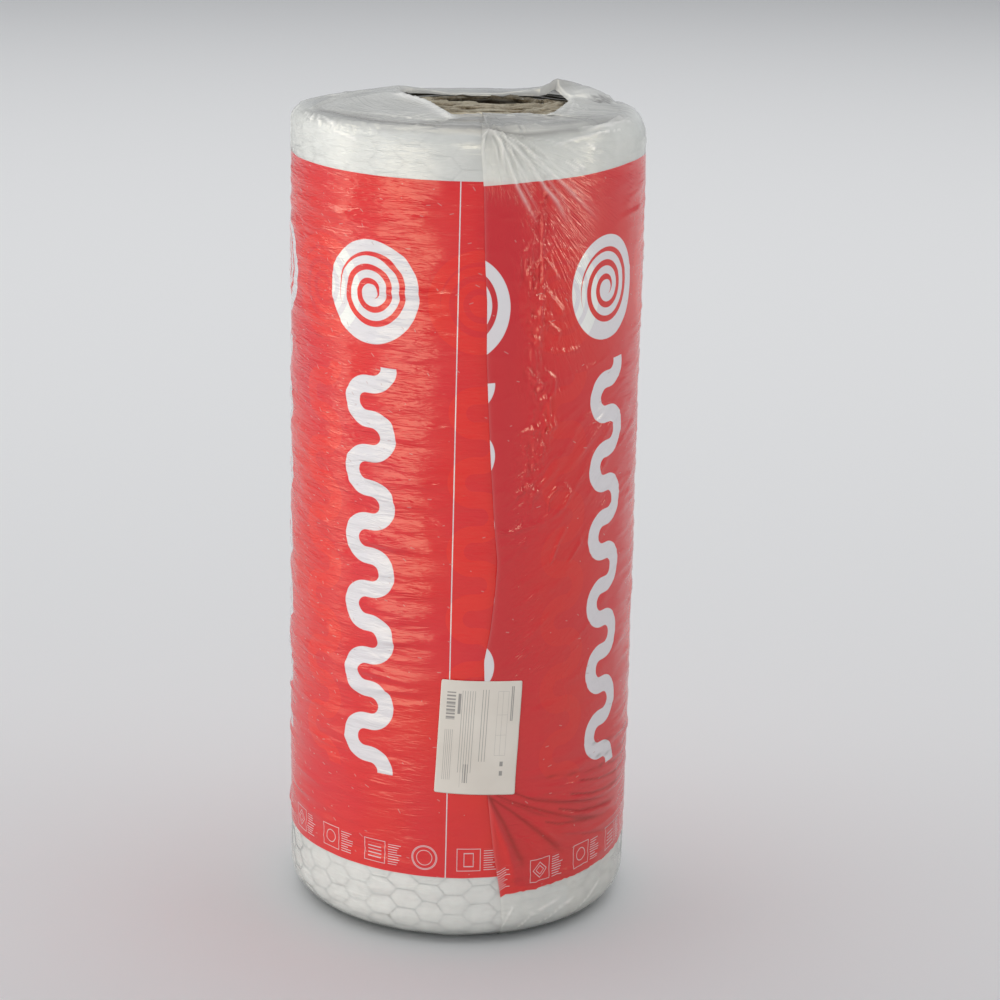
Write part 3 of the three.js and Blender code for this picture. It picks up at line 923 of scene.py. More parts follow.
RIM_GLINTS = [  # short gathers in a row on the right rim, each with a painted highlight along it
    (44.8, 992, 46.7, 992.5), (48.6, 992, 51.7, 992), (53.4, 992, 55, 992), (56.2, 992, 58.2, 992.5),
    (55.5, 1005, 63.8, 1005, 74.4, 1001), (56.5, 1000, 62.8, 1001, 71.1, 997),
    (40.3, 1002, 48.5, 1000, 58.2, 998), (39, 983, 43.2, 976), (31, 966, 36.5, 953), (34, 966, 38.5, 955),
]
LIP_GLINTS = [  # on the crumpled lip above it
    (70, 1090, 80, 1094), (58, 1068, 64, 1070, 70, 1069), (74.5, 1064, 82, 1063), (83, 1077, 89, 1081),
    (97, 1077, 84, 1086, 67, 1074), (12, 1098, 18, 1097), (27, 1086, 33, 1083),
]
LEFT_GLINTS = [  # and on the left rim
    (-69.5, 1003, -67.5, 999), (-67, 1003, -64.8, 998), (-62.5, 1003, -60.5, 997), (-63.5, 998, -60, 995),
    (-59.5, 1004, -56.5, 998), (-57.5, 998, -54.5, 995), (-56.5, 1003, -51, 999, -46, 995),
    (-47, 990, -41, 987, -36, 985),
]
CRUMPLE_LINE = np.array([  # height, degrees: where the outer end was bunched together
    (0.30, 20.0), (0.42, 20.5), (0.53, 20.8), (0.60, 21.3), (0.66, 25.5), (0.70, 25.5), (0.75, 22.5),
    (0.80, 23.3), (0.85, 22.0), (0.89, 22.8), (0.935, 23.2), (0.97, 20.0), (1.03, 16.0),
])
CRUSHED = [  # scribbles of crushed film at the right of the mouth: degrees, rise, reach and height
    (98, 1.040, 0.016, 0.0022), (79, 1.070, 0.015, 0.0034),
    (66, 1.084, 0.014, 0.0028), (46, 1.082, 0.014, 0.0022),
]
# the doubled flap left of the mouth, seen from above, in mm, and its turned hem
FLAP = [(-175, -49), (-156, -21), (-131, -14), (-99, 2), (-82, -11), (-64, -29), (-47, -53), (-22, -124),
        (-25, -148), (-51, -143), (-79, -127), (-127, -101), (-171, -69)]
HEM = [(-82, -11), (-64, -29), (-47, -53), (-33, -90), (-22, -124)]


def creased(rows, wide=1.0, tall=1.0):
    """Lines for ridged from a table's rows, made this much wider and taller."""
    return [(film_path(in_pairs(places)), half * wide / 1000, first * tall / 1000, last * tall / 1000)
            for places, half, first, last in rows]


knot_lines = []
for places, half, first, last in KNOT_RIDGES:
    path = np.vstack([KNOT, in_pairs(places)])
    knot_lines.append((film_path(path), half * 0.72 / 1000, first / 1000, last / 1000))
    beside_it = path + (1.5, 0.006)
    knot_lines.append((film_path(beside_it), half * 0.5 / 1000, first * 0.45 / 1000, last * 0.4 / 1000))
# the fold that carries the left flap of the mouth
flap_lines = creased([((-72.0, 1012, -76.6, 1024.5, -84.6, 1057, -98.0, 1105), 5.0, 2.4, 4.0)])
fold_lines = creased(FOLDS, tall=0.62)
base_lines = fold_lines[-4:]
fold_lines += creased(CREASES, tall=1.35)
hollow_lines = [
    (film_path(in_pairs(places)), half / 1000, deep / 1000, dark) for places, half, deep, dark in HOLLOWS
]
rim_glints = creased([(places, 1.6, 1.4, 1.4) for places in RIM_GLINTS])
lip_glints = creased([(places, 1.6, 1.4, 1.4) for places in LIP_GLINTS])
left_glints = creased([(places, 1.8, 1.6, 1.4) for places in LEFT_GLINTS])

# pleats that run in over the top from the rim to the mouth
top_lines = []
for k in range(58):
    degrees = k * 360 / 58 + rng.uniform(-2, 2)
    if 272 < degrees < 318:
        continue
    tall = rng.uniform(0.0004, 0.0014) * rng.choice((1, -1)) * (0.4 if 150 < degrees < 255 else 1)
    start = degrees, 1.0 + rng.uniform(0, 0.01)
    end = degrees + rng.uniform(-9, 9), 1.055 + rng.uniform(0, 0.06)
    top_lines.append((film_line(start, end, 8), rng.uniform(0.0022, 0.0048), tall, tall * 1.2))
for k in range(26):  # tight diagonal gathers on the left rim
    degrees = -86 + 2.1 * k + rng.uniform(-0.6, 0.6)
    top_lines.append((film_line((degrees + 4.0, 0.992), (degrees, 1.008), 5), 0.0022, 0.0017, 0.0010))
for k in range(16):  # and long pulls over the right rim
    degrees, rise = 26 + 2.6 * k + rng.uniform(-1, 1), 0.986 + 0.0016 * k + rng.uniform(-0.003, 0.003)
    tall = rng.uniform(0.0008, 0.0015)
    end = degrees + rng.uniform(12, 26), rise + 0.008
    top_lines.append((film_line((degrees, rise), end, 6), 0.0016, tall, tall * 0.6))
fan_lines = []
for k in range(20):  # thin pulls that fan out from the label's lower corner
    end = 38 + 50 * rng.random(), 0.100 + 0.0046 * k + rng.uniform(-0.002, 0.002)
    begin = 10.5 + 6 * rng.random()
    share, drop = (begin - 9.5) / (end[0] - 9.5), end[1] - 0.198
    path = ((begin, 0.198 + drop * share), ((begin + end[0]) / 2, 0.198 + drop * (0.56 + share / 2)), end)
    first = rng.uniform(0.0002, 0.0005) * rng.choice((1, -1))
    fan_lines.append((film_path(path), 0.0014, first, rng.uniform(0.0003, 0.0007) * rng.choice((1, -1))))


def on_flap(points, rise):
    """Whether points lie on the doubled flap, and how many mm they are from its hem."""
    x, y = points[..., 0] * 1000, points[..., 1] * 1000
    inside = np.zeros(x.shape, bool)
    for (x0, y0), (x1, y1) in zip(FLAP, FLAP[1:] + FLAP[:1]):
        inside ^= ((y0 > y) != (y1 > y)) & (x < x0 + (y - y0) * (x1 - x0) / (y1 - y0))
    gap = np.full(x.shape, 1e9)
    for (x0, y0), (x1, y1) in zip(HEM, HEM[1:]):
        t = np.clip(((x - x0) * (x1 - x0) + (y - y0) * (y1 - y0)) / ((x1 - x0) ** 2 + (y1 - y0) ** 2), 0, 1)
        gap = np.minimum(gap, np.hypot(x - x0 - t * (x1 - x0), y - y0 - t * (y1 - y0)))
    return inside & (rise > 1.0), np.where(rise > 1.0, gap, 1e3)


def film_relief(points, degrees, rise, outer_end):
    """How far the wrinkled film stands out from the smooth one, in metres."""
    u = np.radians(degrees) * ROUND
    relief = 0 * u
    for wide, high, seed, tall in (
        (0.085, 0.07, 41, 0.0012), (0.03, 0.016, 42, 0.0007), (0.022, 0.0065, 43, 0.0005),
    ):
        relief += (mottle(u, rise, wide, high, seed, 2 * math.pi * ROUND) - 0.5) * tall
    relief = dented(relief, (u, rise), side_wrinkles)
    if not outer_end:
        return ridged(ridged(relief, points, flap_lines), points, top_lines + left_glints)
    line = np.interp(rise, CRUMPLE_LINE[:, 0], CRUMPLE_LINE[:, 1])
    off = np.radians(degrees - line) * ROUND + (mottle(0, rise, 1, 0.021, 47) - 0.5) * 0.012
    strength = bell(off, 0.010 + 0.008 * mottle(0, rise, 1, 0.05, 44))
    strength = strength * np.interp(rise, [0.5, 0.56, 0.62, 0.94, 0.99, 1.03], [0, 0.35, 1, 1, 0.6, 0])
    sharp = 1 - np.abs(2 * mottle(u, rise, 0.0066, 0.011, 45) - 1)
    sharp = sharp + 0.6 * (1 - np.abs(2 * mottle(u + rise * 0.4, rise, 0.0046, 0.0084, 46) - 1))
    relief += strength * (sharp - 0.7) * 0.0040
    relief = ridged(relief, points, knot_lines + fold_lines + fan_lines)
    relief = ridged(relief, points, [(line, wide, -deep, -deep) for line, wide, deep, _ in hollow_lines])
    at_knot = bell(np.linalg.norm(points - film_line(KNOT, KNOT, 2)[0], axis=-1), 0.006)
    relief = np.minimum(relief, 0.0052) * (1 - 0.6 * at_knot) + 0.0022 * at_knot
    crushed = 1 - np.abs(2 * mottle(u, rise, 0.006, 0.005, 49) - 1)
    for middle, height, reach, tall in CRUSHED:
        far = np.hypot(np.radians(degrees - middle) * LIP_ROUND, rise - height)
        relief += tall * (crushed - 0.5) * bell(far, reach)
    return ridged(relief, points, top_lines + rim_glints + lip_glints)


def whitening_and_painted_glints(points, rise, outer_end):
    """How white the film is made, from 0 to 1: where it is bunched into several layers on the flap and its
    hem, partly stretched white and partly painted highlight along the knot's ridges, the pleats and the
    streaks at the base, and painted highlight along the glints of the rims and the lip.
    """
    lines = [(line, wide * 0.7, 0.35, 0.25) for line, wide, first, _ in top_lines if first > 0.0006]
    glints = rim_glints + lip_glints if outer_end else left_glints
    lines += [(line, wide, 0.85, 0.85) for line, wide, _, _ in glints]
    if outer_end:
        lines += [(line, wide * 0.8, 1.1 * min(first / 0.003, 1), min(last / 0.003, 1))
                  for line, wide, first, last in knot_lines]
        lines += [(line, wide * 0.8, 0.4, 0.85) for line, wide, _, _ in base_lines]
    amount = ridged(0 * rise, points, lines)
    if not outer_end:
        flap, hem_gap = on_flap(points, rise)
        amount = np.maximum(amount, 0.55 * flap + bell(hem_gap, 10, 3))
    return np.clip(amount, 0, 1)


def near_lip(rise, rows):
    """1 in the last rows before the mouth's edge, fading in over 4 of them."""
    return rising(np.arange(len(rise)), len(rise) - rows, 4)[:, None]


def painted_film_shade(points, degrees, rise, outer_end):
    """Painted shade on the film, from 0 to 1, where it hangs clear of the mat or is folded over: over the
    top, round the shoulders, behind, in the right peak, along the sags, in the crushed film and under the
    left flap, lifted off the flap, its hem, the lip's edge and the painted glints.
    """
    degrees = np.where(degrees > BEHIND, degrees - 360, degrees)
    streaked = 0.55 + 0.45 * mottle(np.radians(degrees) * LIP_ROUND, rise, 0.05, 0.0045, 52)
    front = np.interp(degrees, [-34, -18, 55, 80], [0, 1, 1, 0]) * rising(rise, 0.998, 0.007)
    rear = np.interp(np.abs(degrees), [100, 118, 188], [0, 1, 1]) * rising(rise, 1.03, 0.02)
    tent = np.interp(degrees, [112, 120, 148, 158], [0, 1, 1, 0]) * rising(rise, 1.055, 0.02)
    amount = np.maximum.reduce([
        0.26 * rising(rise, 1.002, 0.01), front * 0.72 * streaked, 0.46 * rear, 0.6 * tent,
    ])
    glints = lip_glints if outer_end else left_glints
    glints = ridged(0 * rise, points, [(line, wide, 1, 1) for line, wide, _, _ in glints])
    if outer_end:
        hollows = [(line, wide, dark, dark * 0.7) for line, wide, _, dark in hollow_lines]
        crush = np.hypot(np.radians(degrees - 98) * LIP_ROUND, rise - 1.040)
        crushed = 0.2 + 1.3 * mottle(points[..., 0], points[..., 1], 0.0035, 0.0045, 48)
        crushed = bell(crush, 0.017, 4) * crushed
        amount = np.maximum.reduce([amount, ridged(0 * rise, points, hollows), crushed])
        edge = near_lip(rise, 10) * np.interp(degrees, [4, 12, 96, 108], [0, 1, 1, 0])
        return np.clip(amount, 0, 1) * (1 - 0.8 * np.clip(edge + glints, 0, 1))
    hung = np.interp(degrees, [-45, -25, 0, 16], [0, 0.12, 0.30, 0.34]) * rising(rise, 0.940, 0.01)
    under_flap = np.interp(degrees, [-78, -62, -30, 0, 16], [0, 0.85, 0.9, 1.0, 1.0]) * streaked
    amount = np.maximum.reduce([amount, hung, under_flap * bell(rise - 1.0125, 0.0155, 4)])
    flap, hem_gap = on_flap(points, rise)
    held_up = np.maximum(0.5 * flap, bell(hem_gap, 10, 3))
    return np.clip(amount, 0, 1) * (1 - held_up) * (1 - np.clip(glints, 0, 1))


PRINT_LOW, PRINT_HIGH = 0.0905, 0.942  # the red ground's edges, up the sheet
METRES_A_DEGREE = 3.7123e-3 * 1.0035  # of the printed sheet, as it was drawn on


def print_place(degrees, rise, outer_end):
    """Where each point lies on the printed sheet, in metres along it and up it. The outer end was
    drawn on tighter, higher and less straight than the start."""
    if outer_end:
        start = np.interp(rise, [0.2, 0.71, 0.74, 0.868, 0.94], [38.55, 36.4, 35.0, 33.0, 32.5])
        tight = (degrees - start) * 1.09
        free = 71.9 + (degrees - 100) * 0.978
        along = tight + (free - tight) * eased(rising(degrees, 70, 40))
        top = np.interp(degrees, [4.9, 20, 37, 61, 75, 130, 190],
                        [940.9, 945.0, 947.5, 953.6, 955.2, 949, 947])
        base = np.interp(degrees, [12, 14.4, 16.4, 21, 27, 31, 37.5, 45, 50, 61, 71, 77, 130, 190],
                         [58, 60.5, 65, 66, 66, 68, 70, 71.5, 73, 74.5, 78.5, 80.5, 88, 90.5])
    else:
        along = np.where(degrees < -100, (degrees + 100) * 0.978 - 51.6, degrees + 48.4) + 280.0
        top = np.interp(degrees, [-170, -80, -65, -45, -30, 4], [947, 949.7, 948.5, 946.8, 946.2, 945.7])
        base = np.interp(degrees, [-35, -5], [90.5, 89.1])
    base, top = base / 1000, top / 1000
    up = PRINT_LOW + (rise - base) * (PRINT_HIGH - PRINT_LOW) / (top - base)
    if outer_end:
        jag = mottle(np.radians(degrees) * ROUND, 0, 0.0042, 1, 51) - 0.5
        jag = jag * 0.0016 * (np.abs(rise - base) < 0.012)
        up = up + jag * np.interp(degrees, [10, 30, 60], [1.2, 0.7, 1.4])
    return along * METRES_A_DEGREE, up


def noted(sheet, name, values):
    """Keeps values at the mesh's points, for the finish to read."""
    kind, field = ("FLOAT_VECTOR", "vector") if values.ndim == 3 else ("FLOAT", "value")
    layer = sheet.data.attributes.new(name, kind, "POINT")
    layer.data.foreach_set(field, values.astype(np.float32).ravel())


def film_half(name, columns, side, outer_end):
    """One half of the sheet, with what its finish reads."""
    rows = film_rows(side)
    kinds = np.array([kind for kind, _ in rows])[:, None]
    middle = np.array([film_row(np.radians(np.array([20.0])), *row)[1][0] for row in rows])
    degrees = sheet_angle(columns, middle) if outer_end else np.tile(columns, (len(rows), 1)) - 360
    points, rise = map(np.array, zip(*(film_row(np.radians(a), *row) for a, row in zip(degrees, rows))))
    relief = film_relief(points, degrees, rise, outer_end)
    if outer_end:  # drawn up to the right peak, it hangs clear of the rim's round
        relief = relief + 0.0030 * bell(degrees - 97, 18) * bell(rise - 1.003, 0.013)
    # the label presses it nearly flat
    pressing = 0.93 * bell(np.radians(degrees - 6.2) * ROUND, 0.064, 8) * bell(rise - 0.2715, 0.092, 8)
    relief = relief * (1 - pressing)
    relief = np.where(kinds == "base", np.clip(relief, 0, FILM_FOOT), relief)
    relief = np.where((kinds == "skin") & (rise < 0.03), np.clip(relief, -0.0003, 0.0012), relief)
    if outer_end:  # it stands on the layer below as far as the lap goes
        deepest = -FILM_SUNK + 0.0006 * np.clip((86 - degrees) / 4, 0, 1)
        relief = np.where(np.isin(kinds, ("top", "lip")), relief, np.maximum(relief, deepest))
        relief = relief + np.interp(degrees, [0, 62, 80], [1, 1, 0]) * LAP_OUT
        past_cut = np.maximum(degrees - sheet_angle(np.array([CUT]), middle), 0)
        relief = relief + 0.0006 * np.exp(-past_cut / 0.7)
    else:  # and this one draws in under it
        relief = np.where(np.isin(kinds, ("top", "lip")), relief, np.maximum(relief, -FILM_SUNK))
        under = np.interp(middle, CUT_END[:, 0], CUT_END[:, 1])[:, None]
        hidden = rising(degrees, under - 3.2, 3)
        flap, hem_gap = on_flap(points, rise)
        relief = relief * (1 - hidden) - 0.0004 * hidden + 0.0012 * flap + 0.0022 * bell(hem_gap, 4.5)
    lifted = points + facing(points) * relief[..., None]
    lifted[..., 2] = np.maximum(lifted[..., 2], FILM_FOOT)
    sheet = laid_out(name, *np.moveaxis(lifted, -1, 0), *print_place(degrees, rise, outer_end))
    settled(sheet)

    # which way the fine wrinkles run: level, slanted on the outer end, fanned out round the knot
    u = np.radians(degrees) * ROUND
    pull = np.stack([u / 0.042, rise / 0.0072, 0 * u], -1)
    amount = (0.55 + 0.45 * mottle(u, rise, 0.06, 0.05, 61)) * np.where(rise > 1.0, 0.7, 1.0)
    if outer_end:
        skew = 0.75 * np.interp(rise, [0.22, 0.34, 0.5], [0, 1, 1])
        own = np.clip((70 - degrees) / 25, 0, 1)
        slanted = np.stack([(u + rise * skew) / 0.045, (rise - u * skew) / 0.0050, 0 * u + 7], -1)
        pull = np.where(own[..., None] > 0.5, slanted, pull)
        du, dv = u - math.radians(KNOT[0]) * ROUND, KNOT[1] - rise
        fanned = np.clip((0.40 - np.hypot(du * 0.8, dv)) / 0.12, 0, 1) * np.clip((80 - degrees) / 25, 0, 1)
        fan = np.stack([np.hypot(du, dv) / 0.05 + 40, np.arctan2(du, dv) * 0.16 / 0.0045, 0 * u], -1)
        pull = np.where(fanned[..., None] > 0.5, fan, pull)
        for share in (own, fanned):  # they fade out where two ways meet
            amount *= np.minimum(np.abs(share - 0.5) * 6, 1)
        amount *= 0.36 + 0.36 * bell(np.hypot(du - 0.075, dv - 0.06), 0.065, 4)
        amount *= 1 - 0.75 * np.clip((18 - degrees) / 4, 0, 1) * np.clip((0.93 - rise) / 0.02, 0, 1)
    else:
        amount *= np.interp(degrees, [-16, -5], [1, 0.3]) * np.interp(rise, [0.2, 0.5], [0.4, 1])
    noted(sheet, "pull", pull)
    noted(sheet, "creasing", amount)
    noted(sheet, "pricks", np.interp(
        degrees, [-95, -60, -45, -20, 10, 60, 95], [0.6, 0.75, 0.5, 0.25, 0.12, 0.1, 0.4]))
    noted(sheet, "painted_shade", painted_film_shade(points, degrees, rise, outer_end))

    # several layers lie on each other at the mouth's edge, on top, at the knot and at the cut; the same
    # value carries painted highlight along the glints and ridges and at the knot
    layers_and_painted_glints = np.interp(degrees % 360, [0, 75, 105, 250, 275, 360], [1, 1, 0.2, 0.2, 1, 1])
    at_front = np.interp((degrees + 180) % 360 - 180, [-24, -12, 12, 24], [0, 1, 1, 0])
    at_front = at_front * np.interp(rise, [1.02, 1.04, 1.075, 1.085], [0, 1, 1, 0.6])
    layers = [
        layers_and_painted_glints * near_lip(rise, 9), 0.5 * (1 - 0.8 * at_front) * rising(rise, 0.99, 0.02),
        whitening_and_painted_glints(points, rise, outer_end),
    ]
    lap_and_painted_light = 0 * degrees
    if outer_end:
        cut = np.exp(-(degrees - sheet_angle(np.array([CUT]), rise[:, 0])) / 0.5)
        layers.append(0.9 * bell(np.hypot(du, dv), 0.010))
        layers.append(cut * np.interp(rise, [0.05, 0.08, 0.19, 0.23, 0.9], [0.05, 0.14, 0.14, 0.12, 0.12]))
        lap_and_painted_light = np.interp(degrees, [14, 26, 62, 80], [0.85, 0.45, 0.4, 0])
        lap_and_painted_light *= np.interp(rise, [0.93, 0.95], [1, 0.5])
        # below the label, between the cut end and the first fold, the doubled film's deeper red is taken
        # off: painted light on the face turned towards the lamps
        first_fold = np.interp(rise, [0.06, 0.075, 0.097, 0.128, 0.15, 0.17, 0.19, 0.2],
                               [40, 19.5, 18.6, 16.4, 14, 12, 10, 8])
        lap_and_painted_light *= 1 - 0.85 * (rise < 0.2) * np.clip((first_fold - degrees) / 1.5 + 0.5, 0, 1)
        lap_and_painted_light = np.maximum(lap_and_painted_light, 0.8 * bell(degrees - 128, 15) * rising(rise, 1.06, 0.03))
    noted(sheet, "lap_and_painted_light", lap_and_painted_light)
    noted(sheet, "layers_and_painted_glints", np.maximum.reduce(layers))
    return sheet


film_right = film_half("wrapping_film_outer_end", np.concatenate([
    np.linspace(CUT, 31, 74)[:-1], np.linspace(31, 50, 32)[:-1],
    np.linspace(50, 98, 46)[:-1], np.linspace(98, REAR, 52),
]), [(0.20, 94), (0.46, 70), (0.90, 168), (RIM_START, 38)], True)
film_left = film_half("wrapping_film_start", np.concatenate([
    np.linspace(REAR, 262, 58)[:-1], np.linspace(262, 374, 152)[:-1], np.linspace(374, 438, 26),
]), [(0.94, 300), (RIM_START, 12)], False)

# the print: a red ground with windows left clear
PRINT_REPEAT = 0.20862
SIGN_REPEAT = 0.340
SIGN_LEAD = SIGN_REPEAT / 10  # the row of signs starts this far before its first sign


def floored(value):
    return maths("FLOOR", value)


def fraction(value):
    return maths("FRACT", value)


def distance(x, y):
    return maths("SQRT", x * x + y * y)


def larger(*masks):
    """The largest of several readings, or where any of several masks is 1."""
    result = masks[0]
    for mask in masks[1:]:
        result = maths("MAXIMUM", result, mask)
    return result


def within(value, limit, soft=0.0004):
    """1 where value is below limit, with a soft edge."""
    return ranged(value, limit - soft, limit + soft, 1.0, 0.0)


def outlined(value, half, soft=0.00025):
    """1 along the line where value is 0."""
    return within(abs(value), half, soft)


def striped(value, pitch, share):
    """1 on level or upright stripes, one pitch apart."""
    return within(abs(fraction(value / pitch) - 0.5), share, 0.05)


def read(name):
    """What the mesh keeps at its points under this name."""
    node = joined("Attribute", {}, attribute_name=name)
    return Reading(node, "Vector" if name == "pull" else "Fac")


def windows(u, v, with_trim):
    """The clear windows in the print: a disc with a wound roll's end in it, and below it a looped
    band, the drawing sign for insulation. A thin line and rows of small signs are the trim."""
    along = u % PRINT_REPEAT
    x, y = along - 0.0655, v - 0.8065
    radius = distance(x, y)
    coil = fraction(radius / 0.0165 - maths("ARCTAN2", y, x) / (2 * math.pi)) - 0.5
    roll_sign = outlined(coil, 0.22, 0.02) * within(radius, 0.047) * (1.0 - within(radius, 0.009))
    disc = within(radius, 0.061) - roll_sign
    # the looped band: level runs one pitch apart, joined by half rounds at alternate ends
    pitch, half_run, stroke = 0.0418, 0.0035, 0.0102
    step = (v - 0.2165) / pitch - 0.5
    high = (fraction(step) - 0.5) * pitch
    side = (along - 0.0648) * (floored(step) % 2.0 * 2.0 - 1.0)
    turned = abs(distance(side - half_run, high) - pitch / 2)
    other = abs(distance(side + half_run, abs(high) - pitch) - pitch / 2)
    run = abs(abs(high) - pitch / 2)
    past, before = side > half_run, side < -half_run
    gap = past * turned + (1.0 - past) * (before * other + (1.0 - before) * run)
    # on the outer end the label covers the band's foot beside the cut
    band = within(gap, stroke) * within(abs(v - 0.4675), 0.2515) * larger(u > -0.06, v > 0.26)
    if not with_trim:
        return larger(disc, band)
    line = outlined(u - (PRINT_REPEAT * 5 + 0.1662) - v * 0.0064, 0.0006, 0.0003)
    # small signs in a row near the lower edge of the print, each with lines ruled beside it
    row = (u + (0.041 + SIGN_LEAD)) % SIGN_REPEAT - SIGN_LEAD
    up_row = abs(v - 0.1140)
    signs = []
    for middle, kind in ((0.0, "peak"), (0.0702, "ring"), (0.140, "bars"), (0.259, "step")):
        x = abs(row - middle)
        reach = larger(x, up_row)
        signs.append(outlined(reach - 0.0142, 0.0004))
        if kind == "ring":
            signs.append(outlined(distance(x, up_row) - 0.0078, 0.0005))
        elif kind == "peak":
            signs.append(outlined(x + up_row - 0.0098, 0.0006, 0.0003))
            signs.append(outlined(x + up_row - 0.0055, 0.0005, 0.0003))
        elif kind == "bars":
            signs.append(striped(v, 0.0045, 0.14) * within(reach, 0.0092))
        else:
            signs.append(outlined(larger(x * 1.5, up_row) - 0.0085, 0.0006, 0.0003))
        lot = joined("TexWhiteNoise", {"W": floored(v / 0.0031) + middle * 100}, noise_dimensions="1D")
        end = Reading(lot, "Value") * 0.009 + (middle + 0.0285)
        signs.append(striped(v, 0.0031, 0.15) * within(row - end, 0.0)
                     * (row > middle + 0.0185) * within(up_row, 0.0140))
    radius = distance(row - 0.2048, v - 0.1150)
    signs += [outlined(radius - ring, 0.0004) for ring in (0.0155, 0.0142, 0.0095)]
    return larger(disc, band, line, larger(*signs) * 0.72)


film_finish, tree, shader = finish_of("printed_film")
along_sheet, up_sheet, _ = apart(Reading(joined("UVMap", {})))
spot = coordinates("Object")
open_print = windows(along_sheet, up_sheet, True)
below = windows(along_sheet + 0.0765, up_sheet + 0.004, False)  # the print of the layer below
ground = within(abs(up_sheet - (PRINT_LOW + PRINT_HIGH) / 2), (PRINT_HIGH - PRINT_LOW) / 2)
ink = ground * (1.0 - open_print)

lap_and_painted_light, layers_and_painted_glints = read("lap_and_painted_light"), read("layers_and_painted_glints")
red = mixed(noise(spot, 7.0, 3.0), (0.60, 0.018, 0.050, 1), (0.72, 0.028, 0.018, 1))
red = mixed(below * 0.35, red, (0.84, 0.036, 0.022, 1))
# deeper red where the film lies doubled, less deep in the wedge below the label, where light is painted in
red = mixed(lap_and_painted_light, red, (0.52, 0.020, 0.036, 1))
milk = mixed(ground * (1.0 - below), (0.86, 0.875, 0.845, 1), (0.74, 0.72, 0.75, 1))
cream = mixed(lap_and_painted_light, milk, (0.80, 0.785, 0.71, 1))
colour = mixed(ink, mixed(ground, cream, milk), red)

# short pricks where the netting's wire ends have marked the film, at most one in each cell of a grid
cell_v = up_sheet / 0.0165
cell_u = along_sheet / 0.019 + floored(cell_v) % 2.0 * 0.5
cell = Reading(joined("CombineXYZ", {0: floored(cell_u), 1: floored(cell_v)}))
lot = joined("TexWhiteNoise", {"Vector": cell}, noise_dimensions="2D")
lot_x, lot_y, lot_z = apart(Reading(lot, "Color"))
x, y = fraction(cell_u) - (lot_x * 0.7 + 0.15), fraction(cell_v) - (lot_y * 0.7 + 0.15)
bearing = fraction(lot_x * 13.7) * 1.5 - 1.1
slope_x, slope_y = maths("COSINE", bearing), maths("SINE", bearing)
far_along = abs(x * slope_x + y * slope_y) / (fraction(lot_y * 9.1) * 0.14 + 0.03)
prick = within(far_along, 1.0, 0.3) * outlined(y * slope_x - x * slope_y, 0.032, 0.02)
prick = prick * (lot_z < read("pricks")) * ground
colour = mixed(prick * 0.5, colour, (0.52, 0.32, 0.31, 1))
# whiter where the film lies in several layers, with painted highlight along the glints, the knot's ridges
# and at the knot
colour = mixed(layers_and_painted_glints * 0.6, colour, (0.90, 0.88, 0.85, 1))
# painted shade: the film is darkened towards this where it hangs clear, on top, behind and along its sags
dark = mixed(ink, (0.25, 0.245, 0.24, 1), (0.24, 0.007, 0.012, 1))
colour = mixed(read("painted_shade") * 0.8, colour, dark)

# how much it hides: the margins are milky, bunched film and windows nearly closed, and print is full
haze = noise(spot, 18.0, 3.0)
veil = ranged(haze, 0.3, 0.7, 0.35, 0.56) + ranged(up_sheet, 0.8, 0.95, 0.0, 0.2)
veil = mixed(layers_and_painted_glints, veil, 0.94, "FLOAT")
veil = mixed(ground, veil, 0.9, "FLOAT")

# fine wrinkles too small for the mesh run along the film's pull
drawn = noise(read("pull"), 1.0, 3.0, 0.55, 0.35)
fine_bump = bumped(abs(drawn - 0.5) * 2.0 * read("creasing"), 0.9, 0.0026)
fed(shader, {
    "Base Color": colour, "Alpha": mixed(ink, veil, 1.0, "FLOAT"),
    "Normal": bumped(noise(spot, 240.0, 2.0), 0.12, 0.0006, fine_bump),
    "Roughness": ranged(haze, 0.3, 0.7, 0.15, 0.27), "IOR": 1.45,
    "Specular IOR Level": 1.0, "Specular Tint": (1.0, 0.88, 0.60, 1),
})
for sheet, cut_length in ((film_right, 0.68), (film_left, 0.93)):
    sheet.data.materials.append(film_finish)
    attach(sheet, "root")
    roll_only.objects.link(sheet)
    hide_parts("shrink_film")


# ---- The paper label ----
# A matt self-adhesive label of about A6 size, stuck over the film's cut end, a little out of true.
# It is ruled like a form: a frame, lines and plain grey blocks, with nothing written on it.
LABEL_WIDE, LABEL_HIGH = 0.0978, 0.1453
LABEL_MIDDLE = (0.0239, 0.2717)  # round from the front, and up
LABEL_TILT = math.radians(-2.9)
LABEL_CORNER = 0.0022
LABEL_OUT = 0.0010  # over the film
LABEL_ROUND = 0.2136  # the radius it is bent to
across_label = np.linspace(-0.5, 0.5, 61)[None, :] * LABEL_WIDE
up_label = np.linspace(-0.5, 0.5, 85)[:, None] * LABEL_HIGH
past_x = np.maximum(np.abs(across_label) - LABEL_WIDE / 2 + LABEL_CORNER, 0)
past_y = np.maximum(np.abs(up_label) - LABEL_HIGH / 2 + LABEL_CORNER, 0)
drawn_in = 1 - np.minimum(LABEL_CORNER / np.maximum(np.hypot(past_x, past_y), LABEL_CORNER), 1)
across_label = across_label - np.sign(across_label) * past_x * drawn_in
up_label = up_label - np.sign(up_label) * past_y * drawn_in
u = LABEL_MIDDLE[0] + across_label * math.cos(LABEL_TILT) - up_label * math.sin(LABEL_TILT)
v = LABEL_MIDDLE[1] + across_label * math.sin(LABEL_TILT) + up_label * math.cos(LABEL_TILT)
ripple = (mottle(u, v, 0.03, 0.02, 71) - 0.5) * 0.0008 + (mottle(u, v, 0.05, 0.008, 72) - 0.5) * 0.0004
corner_lift = 0.0012 * rising(across_label, 0.03, 0.02) * rising(-up_label, 0.05, 0.024)
radius = OUTER + FILM_OUT + LAP_OUT + LABEL_OUT + ripple + corner_lift
angle = u / LABEL_ROUND
x, y = radius * np.sin(angle), -radius * np.cos(angle)
label = laid_out("paper_label_form", x, y, v, across_label, up_label)
settled(label)
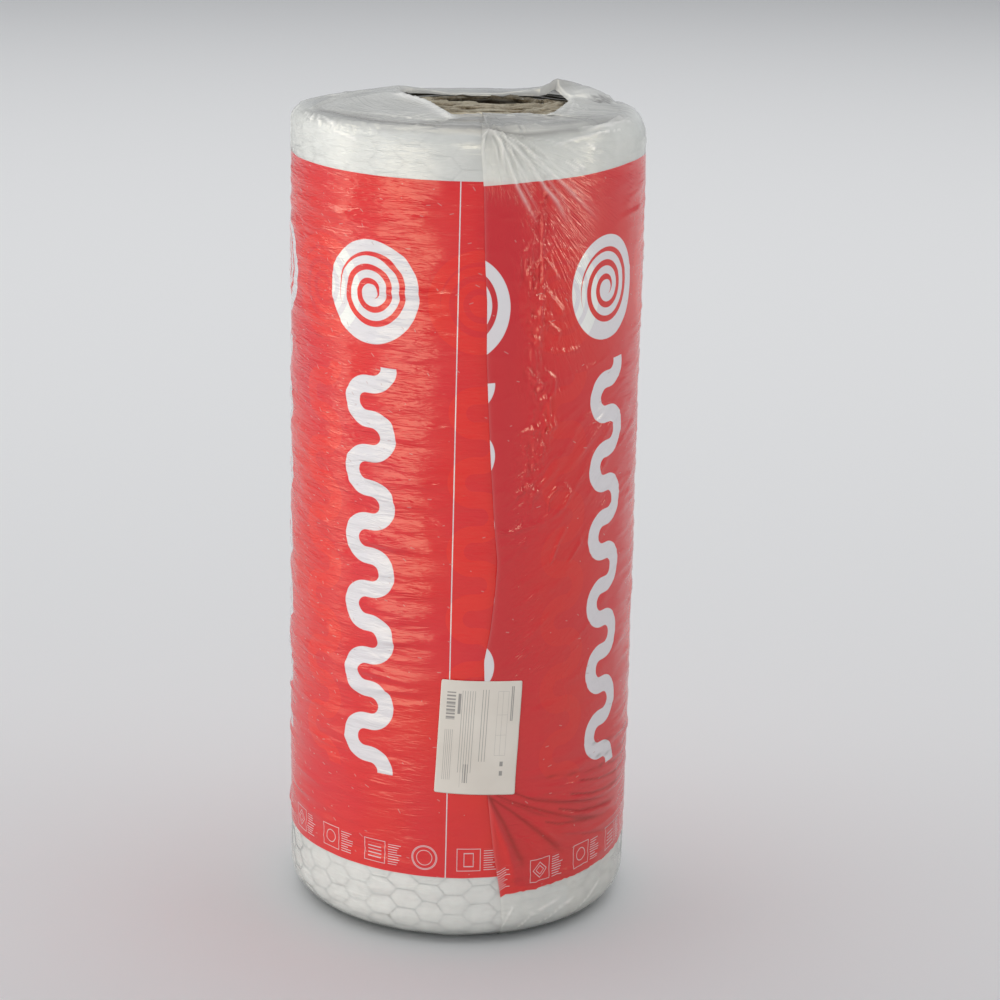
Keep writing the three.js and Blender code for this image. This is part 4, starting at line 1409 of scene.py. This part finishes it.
thick = label.modifiers.new("paper", "SOLIDIFY")
thick.thickness = 0.0002
thick.offset = -1
bpy.ops.object.modifier_apply(modifier="paper")

label_finish, tree, shader = finish_of("label_paper")
form_x, form_y, _ = apart(Reading(joined("UVMap", {})))
spot = coordinates("Object")
# rectangles of the form, in mm from the label's middle: left, right, foot and top
BLOCKS = [
    (27.5, 31.5, -36, -30), (27.5, 31.5, -48, -42), (-19.6, -19.4, -64, 60), (-27.5, -24, 30, 56),
    (20, 20.2, -22, 60), (33, 33.2, -22, 60), (20, 33.2, 59.8, 60), (20, 33.2, -22, -21.8),
    (26.2, 26.4, -22, 60), (20, 33.2, 30, 30.2), (20, 33.2, 4, 4.2),
]
UPRIGHT_LINES = [  # then the lines' pitch, and the share of it that is dark
    (-42, -30, -55, 10, 2.2, 0.10), (-16.5, -10.5, -58, -34, 3.0, 0.28), (-24, -6, -45, 60, 3.0, 0.09),
    (0, 10, -30, 62, 3.4, 0.10), (36, 40, 22, 66, 2.0, 0.30),
]
LEVEL_BARS = [(-41, -30.5, 22, 58, 4.6, 0.24), (-41, -30.5, 22, 50, 3.1, 0.12)]


def block(left, right, foot, top):
    """A filled rectangle of the form."""
    return outlined(form_x - (left + right) / 2000, (right - left) / 2000, 0.0002) \
        * outlined(form_y - (foot + top) / 2000, (top - foot) / 2000, 0.0002)


marks = [block(*place) for place in BLOCKS]
for ruled, rows in ((form_x, UPRIGHT_LINES), (form_y, LEVEL_BARS)):
    marks += [striped(ruled, pitch / 1000, share) * block(*place) for *place, pitch, share in rows]
paper = mixed(noise(spot, 18.0, 3.0), (0.60, 0.555, 0.49, 1), (0.72, 0.68, 0.615, 1))
fed(shader, {
    "Base Color": mixed(larger(*marks) * 0.62, paper, (0.08, 0.08, 0.09, 1)),
    "Roughness": 0.62, "Specular IOR Level": 0.3,
    "Normal": bumped(noise(spot, 160.0, 4.0), 0.2, 0.0003),
})
label.data.materials.append(label_finish)
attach(label, "root")
roll_only.objects.link(label)
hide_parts("paper_label")
